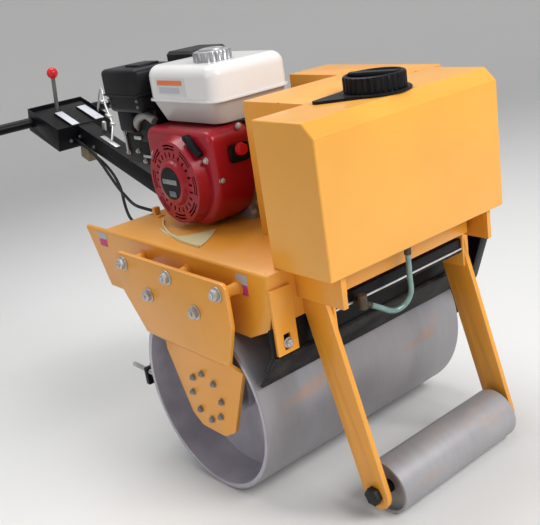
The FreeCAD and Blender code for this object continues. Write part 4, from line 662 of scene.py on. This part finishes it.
# Fan cover and recoil starter: pressed steel in deep red gloss, with a black pull handle
# and a red stop switch. Behind the vents there is the fan wheel, coloured near black as
# painted shade in the vents.
red_paint = sprayed("red_paint_gloss", (0.33, 0.004, 0.016), gloss=0.28, coat=0.25,
                    dust=(0.22, 0.13, 0.11, 1), dusty=0.12, chipped=0.8, shine=0.32)
dressed("engine_fan_cover", "frame", red_paint, bevel=0, smooth=40)
dressed("engine_recoil_starter", "frame", red_paint, bevel=0.6, segments=1)
dressed("engine_starter_pull", "frame", black_moulding, bevel=2)
dressed("engine_switch_mount", "frame", black_moulding, bevel=2)
red_knob = plastic("red_knob_moulding", (0.62, 0.012, 0.022), 0.25, 0.05)
dressed("engine_switch_knob", "frame", red_knob, bevel=1.5)
STARTER_X, STARTER_Z = -145, 437
WHEEL_FACE, WHEEL_BLADES, BLADE_LEAN = 132, 18, 0.3
wheel_parts = [turned([(84, 0), (86, 2), (86, 6), (40, 8), (38, 12)], 48)]
for number in range(WHEEL_BLADES):
    blade = bevelled_block((42, 3, 20), (62, 0, 16), 1, 1)
    around = Matrix.Rotation(math.radians(360 / WHEEL_BLADES * number), 4, "Z")
    blade.data.transform(around @ Matrix.Rotation(BLADE_LEAN, 4, "Z"))
    wheel_parts.append(blade)
wheel = joined(wheel_parts)
wheel.data.transform(facing((0, -1, 0), (STARTER_X, -WHEEL_FACE, STARTER_Z)))
# The fan wheel's near black colour is painted shade behind the vents.
finished(fixed(wheel), "fan_wheel", "frame",
         plastic("fan_wheel_painted_shade", (0.012, 0.012, 0.013), 0.5, 0.1))

# Starter hub: a blank black disc on the cup's hub, with a plain grey bar and a small plain
# plate across it, and plated screws round the cover.
DISC_FACE = 193.6
disc = turned([(36, 0), (37, 0.8), (36, 1.6)], 48)
disc.data.transform(facing((0, -1, 0), (STARTER_X, -DISC_FACE, STARTER_Z)))
finished(fixed(disc), "hub_disc_blank", "frame", black_moulding)
finished(fixed(bevelled_block((54, 2.4, 11), (STARTER_X, -195.8, 441), 1)), "hub_bar_blank", "frame",
         plated("hub_bar_grey", (0.34, 0.35, 0.35), 0.4))
finished(fixed(bevelled_block((26, 2.4, 13), (-140, -195.5, 414), 1)), "hub_plate_blank", "frame",
         plated("hub_plate_grey", (0.20, 0.24, 0.28), 0.35))
COVER_SCREWS = [
    # direction that the screw faces, spot
    ((0, -1, 0), (-43, -160, 488)), ((0, -1, 0), (-246, -160, 488)), ((0, -1, 0), (-230, -160, 372)),
    ((1, 0, 0), (-21, -144, 443)), ((1, 0, 0), (-50, -40, 362)), ((1, 0, 0), (-50, -52, 342)),
    ((1, 0, 0), (-21, -80, 545)),
]
repeated(hex_bolt(11, 5, 1.5), "cover_screws", [facing(*place) for place in COVER_SCREWS], zinc)

# Fuel tank: two pressed shells, seamed all round and sprayed off-white. The lower shell is
# painted greyer, partly dust and partly painted shade below the seam, and the cap is a
# ribbed plated pressing.
SEAM = (0.603, 0.606)
fuel_paint, here = new_finish("white_paint_gloss")
lower = 1 - here.along_machine((0, 0, 1)).limited(*SEAM)
cloud = here.noise(6, 4).limited(0.3, 0.7)
upper_paint = cloud.blend((0.76, 0.745, 0.74, 1), (0.82, 0.81, 0.80, 1))
# The lower shell's greyer colour is partly dust and partly painted shade.
lower_dust_and_shade = cloud.blend((0.43, 0.415, 0.40, 1), (0.53, 0.515, 0.50, 1))
feed(fuel_paint, Base_Color=lower.blend(upper_paint, lower_dust_and_shade), Roughness=0.24 + lower * 0.2,
     Coat_Weight=0.5, Coat_Roughness=0.08, Normal=here.noise(500, 1).bump(0.03, 0.0003))
dressed("fuel_tank", "frame", fuel_paint, bevel=0, smooth=30)
FUEL_CAP_SPOT, FUEL_CAP_SIDES = (-0.105, -0.057, 0.680), 96
FUEL_CAP_WALL = [(41.5, 0), (42, 1), (42, 17), (40, 20), (34, 22), (30, 21.5)]
fuel_cap = joined([ribbed(turned(FUEL_CAP_WALL, FUEL_CAP_SIDES), FUEL_CAP_SIDES, 1, 17, 0.95),
                   turned([(29, 21), (27, 24.5), (20, 26)], 48)])
fuel_cap.data.transform(Matrix.Translation(FUEL_CAP_SPOT))
finished(fixed(fuel_cap), "fuel_cap_ribbed", "frame",
         plated("fuel_cap_chrome", (0.46, 0.46, 0.48), 0.26))
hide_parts("fuel_cap")

# Fuel tank label: a blank sticker on the tank's right side, pale grey with a plain orange
# bar over a plain grey one.
FUEL_SIDE = 135
LABEL = [
    # name, x span, z span, thickness, colour
    ("tank_label_pale", (-226, -112), (617, 656), 0.5, (0.66, 0.67, 0.66)),
    ("tank_label_orange", (-219, -123), (639, 650), 0.8, (0.78, 0.21, 0.075)),
    ("tank_label_grey", (-214, -136), (622, 635), 0.8, (0.50, 0.52, 0.58)),
]
for name, (rear, front), (low, high), proud, colour in LABEL:
    spot = ((rear + front) / 2, -FUEL_SIDE - proud / 2, (low + high) / 2)
    label = bevelled_block((front - rear, proud, high - low), spot, 0.2, 1)
    finished(fixed(label), name, "frame", plastic(name + "_film", colour, 0.35, 0.1))

# Air cleaner: a black moulded box with a lid that overlaps it and four small screws. Its
# ducts reach down to the engine, and a cast elbow curves round below it.
LEVEL = Matrix.Identity(4)


def bent_rod(radius, points):
    """A round rod along control points, all in millimetres, closed at both ends."""
    alone(cord_curve("rod", radius, points, LEVEL))
    bpy.ops.object.convert(target="MESH")
    rod = bpy.context.object
    applied(rod, "WELD", merge_threshold=0.01 * MM)
    return rod


CLEANER = [
    # size, spot, bevel, bevel segments
    ((146, 118, 96), (-358, -91, 622), 12, 4),
    ((160, 122, 68), (-362, -91, 641), 12, 4),
    ((163, 125, 4), (-362, -91, 616), 1.5, 2),
    ((60, 60, 8), (-350, -86, 676), 3, 3),
    ((12, 34, 60), (-447, -96, 630), 3, 2),
    ((64, 100, 70), (-398, -84, 556), 8, 3),
    ((84, 70, 90), (-330, -80, 538), 8, 3),
]
cleaner = joined([bevelled_block(*block) for block in CLEANER])
finished(fixed(cleaner), "air_cleaner_moulded", "frame", black_moulding)
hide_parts("air_cleaner")
CLEANER_FACE = 149.8
CLEANER_SCREWS = [(-296, 604), (-296, 590), (-420, 604), (-418, 590)]
repeated(hex_bolt(6, 3, 1), "cleaner_screws",
         [facing((0, -1, 0), (x, -CLEANER_FACE, z)) for x, z in CLEANER_SCREWS], dark_zinc)
ELBOW = [(-376, -120, 528), (-369, -120, 546), (-341, -120, 562), (-312, -120, 568), (-288, -118, 552)]
finished(fixed(bent_rod(10, ELBOW)), "breather_elbow", "frame", engine_alloy)

# Control plate: a black steel plate under the air cleaner, with the engine's plated speed
# links and screws on its right face.
finished(fixed(bevelled_block((150, 4, 84), (-375, -112, 482), 1.5)), "control_plate", "frame",
         black_paint)
linkage = [bevelled_block((32, 4, 9), (-381, -117, 506), 1.5),
           bevelled_block((8, 4, 44), (-440, -117, 492), 1.5),
           bevelled_block((48, 4, 7), (-345, -117, 462), 1.5)]
finished(fixed(joined(linkage)), "control_links", "frame", zinc)
CONTROL_FACE = 114
CONTROL_SCREWS = [(-440, 516), (-440, 466), (-394, 472), (-323, 463), (-368, 449), (-318, 500)]
repeated(hex_bolt(9, 5, 1.4), "control_screws",
         [facing((0, -1, 0), (x, -CONTROL_FACE, z)) for x, z in CONTROL_SCREWS], zinc)

# Muffler: a pressed can above the cylinder on a bent pipe, in heat-proof black, dull and
# dusty.
hot_black = sprayed("muffler_black", (0.010, 0.010, 0.011), gloss=0.55, coat=0.0,
                    dust=(0.13, 0.11, 0.10, 1), dusty=0.2, chipped=0.66, shine=0.3)
dressed("muffler", "frame", hot_black, bevel=0)

# Drip lip: a pale plastic strip on its edge on the deck, low and bent to a long arc, with
# a thin tray of the same plastic lying beside it.


def sheet(outline, low, high):
    """A flat sheet with an outline of (x, y) points between two heights, in millimetres."""
    bpy.ops.mesh.primitive_circle_add(vertices=len(outline), fill_type="NGON")
    piece = bpy.context.object
    for vertex, (x, y) in zip(piece.data.vertices, outline):
        vertex.co = Vector((x, y, low)) * MM
    bpy.ops.object.mode_set(mode="EDIT")
    bpy.ops.mesh.select_all(action="SELECT")
    bpy.ops.mesh.extrude_region_move(TRANSFORM_OT_translate={"value": (0, 0, (high - low) * MM)})
    bpy.ops.mesh.select_all(action="SELECT")
    bpy.ops.mesh.normals_make_consistent(inside=False)
    bpy.ops.object.mode_set(mode="OBJECT")
    return piece


cream = plastic("cream_strip", (0.66, 0.62, 0.36), 0.4, 0.1)
LIP_CUT, LIP_DROP = 0.340, 0.017
lip = dressed("drip_lip", "frame", cream, bevel=0.6)
shifted_above(lip, LIP_CUT, (0, 0, -LIP_DROP))
TRAY_FOOT, TRAY_TOP = 327.8, 330
TRAY = [(-214, -205), (-166, -222), (-120, -232), (-75, -239), (-25, -242), (-3, -238), (-14, -215),
        (-40, -180), (-67, -150), (-94, -208), (-110, -222), (-161, -217)]
finished(fixed(sheet(TRAY, TRAY_FOOT, TRAY_TOP)), "drip_tray", "frame", cream)

# Handle: a square tube bolted to the rear flange, black, with a cross bar and two rubber
# grips. A control box stands on its upper end, and a grommet and a yellow stop hold the
# cables.
for node, bevel in (("handle_pole", 3), ("pole_base_plate", 1.5), ("handle_bar", 0.6), ("control_box", 0.6)):
    dressed(node, "frame", black_paint, bevel=bevel)
dressed("cable_grommet", "frame", rubber("grommet_rubber"), bevel=0.8)
dressed("cable_stop", "frame", yellow_paint, bevel=1)
dressed("hand_grips", "frame", rubber("grip_rubber"), bevel=1.5)

# Levers: the travel lever is a plated rod with a red ball. The throttle is a thin bent rod,
# and plated links run from its top down to the pole.
HANDLE_FOOT, HANDLE_SLOPE = (-0.348, 0, 0.300), math.radians(17.4)
handle = park @ Matrix.Translation(HANDLE_FOOT) @ Matrix.Rotation(HANDLE_SLOPE, 4, "Y")
LEVER = [(-693, -16, 13), (-696, -16, 55), (-703, -16, 118), (-704, -16, 128)]
finished(fixed(bent_rod(6, LEVER), handle), "travel_lever_rod", "frame", dark_zinc)
BALL_SPOT = (-0.705, -0.016, 0.135)
ball = turned([(6, -16.5), (7, -15.1), (11.9, -11.5), (15.3, -6.2), (16.5, 0), (15.3, 6.2), (11.9, 11.5),
               (6.3, 15.3), (1.6, 16.4)], 40)
ball.data.transform(Matrix.Translation(BALL_SPOT))
finished(fixed(ball, handle), "travel_lever_ball", "frame", red_knob, smooth=50)
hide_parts("travel_lever")
THROTTLE = [(-627, 84, 13), (-618, 84, 60), (-605, 84, 97), (-601, 84, 101)]
throttle = bent_rod(3, THROTTLE)
finished(fixed(throttle, handle), "throttle_rod", "frame", zinc)
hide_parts("throttle_lever")
LINK = [(-605, 84, 97), (-575, 74, 108), (-547, 60, 84), (-487, 40, 66), (-451, 30, 54), (-420, 8, 40),
        (-405, -4, 27)]
LINK_ENDS = [
    # size, spot, bevel
    ((85, 15, 3.4), (-407, -8, 26.5), 1),
    ((16, 22, 9), (-547, 60, 84), 2),
    ((22, 16, 8), (-487, 40, 65), 2),
    ((14, 14, 12), (-451, 30, 53), 2),
    ((12, 8, 30), (-487, 22, 36), 1),
]
links = [bent_rod(3.5, LINK)] + [bevelled_block(*block) for block in LINK_ENDS]
finished(fixed(joined(links), handle), "throttle_links", "frame", zinc)

# Box fixings: small screws in the control box's lower end and in the pole's right side,
# and an olive plated clamp under the pole that holds the two cables.
BOX_SCREWS = [
    # direction that the screw faces, spot
    ((1, 0, 0), (-557, -50, -18)), ((1, 0, 0), (-557, 50, -18)),
    ((0, -1, 0), (-545, -25, -6)), ((0, -1, 0), (-468, -25, -10)),
]
repeated(hex_bolt(8, 4, 1.4), "control_box_bolts", [facing(*place) for place in BOX_SCREWS],
         dark_zinc, at=handle)
clamp = joined([bevelled_block((46, 30, 36), (-505, -22, -42), 3),
                bevelled_block((10, 62, 8), (-505, -2, -28), 2)])
finished(fixed(clamp, handle), "cable_clamp", "frame",
         plated("clamp_olive", (0.26, 0.22, 0.13), 0.5))

# Blank control plates: two pale plates on raised blocks in the box's tray, one beside each
# lever.
REST_HIGH, PLATE_THICK = 7, 1.6
REST_MIDDLE, PLATE_MIDDLE = 17.5, 21.5
MARGIN = 4
PLATES = [
    # name, span along the pole, side, width
    ("travel_plate", (-680, -572), -21, 24),
    ("throttle_plate", (-687, -572), 60, 28),
]
for name, (rear, front), side, width in PLATES:
    middle = (rear + front) / 2
    rest = bevelled_block((front - rear, width + MARGIN, REST_HIGH), (middle, side, REST_MIDDLE), 0.8)
    finished(fixed(rest, handle), name + "_rest", "frame", black_paint)
    plate = bevelled_block((front - rear - MARGIN, width, PLATE_THICK), (middle, side, PLATE_MIDDLE), 0.5)
    finished(fixed(plate, handle), name + "_blank", "frame",
             plastic(name + "_blank_film", (0.60, 0.61, 0.66), 0.35, 0.2))

# Stickers: two small blank two-tone stickers on the right frame side, grey over magenta.
STICKER_FACE = 280.3
STICKERS = [
    # name, x span, z span, colour
    ("rear_grey", (-368, -330), (304, 320), (0.42, 0.44, 0.47)),
    ("rear_magenta", (-366, -334), (286, 304), (0.52, 0.05, 0.20)),
    ("front_grey", (166, 202), (297, 318), (0.42, 0.44, 0.47)),
    ("front_magenta", (164, 199), (275, 297), (0.52, 0.05, 0.20)),
]
for name, (rear, front), (low, high), colour in STICKERS:
    spot = ((rear + front) / 2, -STICKER_FACE, (low + high) / 2)
    sticker = bevelled_block((front - rear, 0.6, high - low), spot, 0.2, 1)
    finished(fixed(sticker), "sticker_" + name, "frame",
             plastic(f"sticker_{name}_film", colour, 0.4, 0.15))

# Floor: a plain pale sweep that curves up round the machine, with a soft sky over it, a
# large lamp in front of the machine, one above it and a weak one on its right.
FLOOR_RADIUS = 5
SWEEP = [(1.12, 0.03), (1.1, 0.12), (1.08, 0.3), (1.06, 0.6), (1.04, 1.0), (1.02, 2.5)]
bpy.ops.object.select_all(action="DESELECT")
bpy.ops.mesh.primitive_circle_add(vertices=96, radius=FLOOR_RADIUS, fill_type="NGON")
floor = bpy.context.object
floor.name = "floor"
bpy.ops.object.mode_set(mode="EDIT")
for grow, rise in SWEEP:
    bpy.ops.mesh.extrude_region_move(TRANSFORM_OT_translate={"value": (0, 0, rise)})
    bpy.ops.transform.resize(value=(grow, grow, 1), center_override=(0, 0, 0))
bpy.ops.mesh.delete(type="ONLY_FACE")
bpy.ops.mesh.select_all(action="SELECT")
bpy.ops.mesh.normals_make_consistent(inside=True)
bpy.ops.object.mode_set(mode="OBJECT")
bpy.ops.object.shade_smooth()
floor_paint = feed(new_finish("floor_paint")[0], Base_Color=(0.78, 0.78, 0.77, 1), Roughness=0.8)
floor.data.materials.append(floor_paint)

SKY_COLOUR, SKY_STRENGTH = (0.97, 0.98, 1.0, 1), 0.42
world = bpy.data.worlds.new("sky")
bpy.context.scene.world = world
world.use_nodes = True
background = world.node_tree.nodes["Background"]
background.inputs["Color"].default_value = SKY_COLOUR
background.inputs["Strength"].default_value = SKY_STRENGTH

LAMP_AIM = Vector((0.1, 0, 0.4))
LAMPS = [
    # name, place, side, power
    ("key_lamp", (3.4, 0.6, 2.6), 1.8, 104),
    ("top_lamp", (-0.6, 0.2, 3.6), 2.2, 70),
    ("side_lamp", (0.2, -3.8, 1.8), 2.0, 16),
]
for name, spot, side, power in LAMPS:
    bpy.ops.object.light_add(type="AREA", location=spot)
    lamp = bpy.context.object
    lamp.name = name
    lamp.data.size = side
    lamp.data.energy = power
    lamp.rotation_euler = (LAMP_AIM - lamp.location).to_track_quat("-Z", "Y").to_euler()
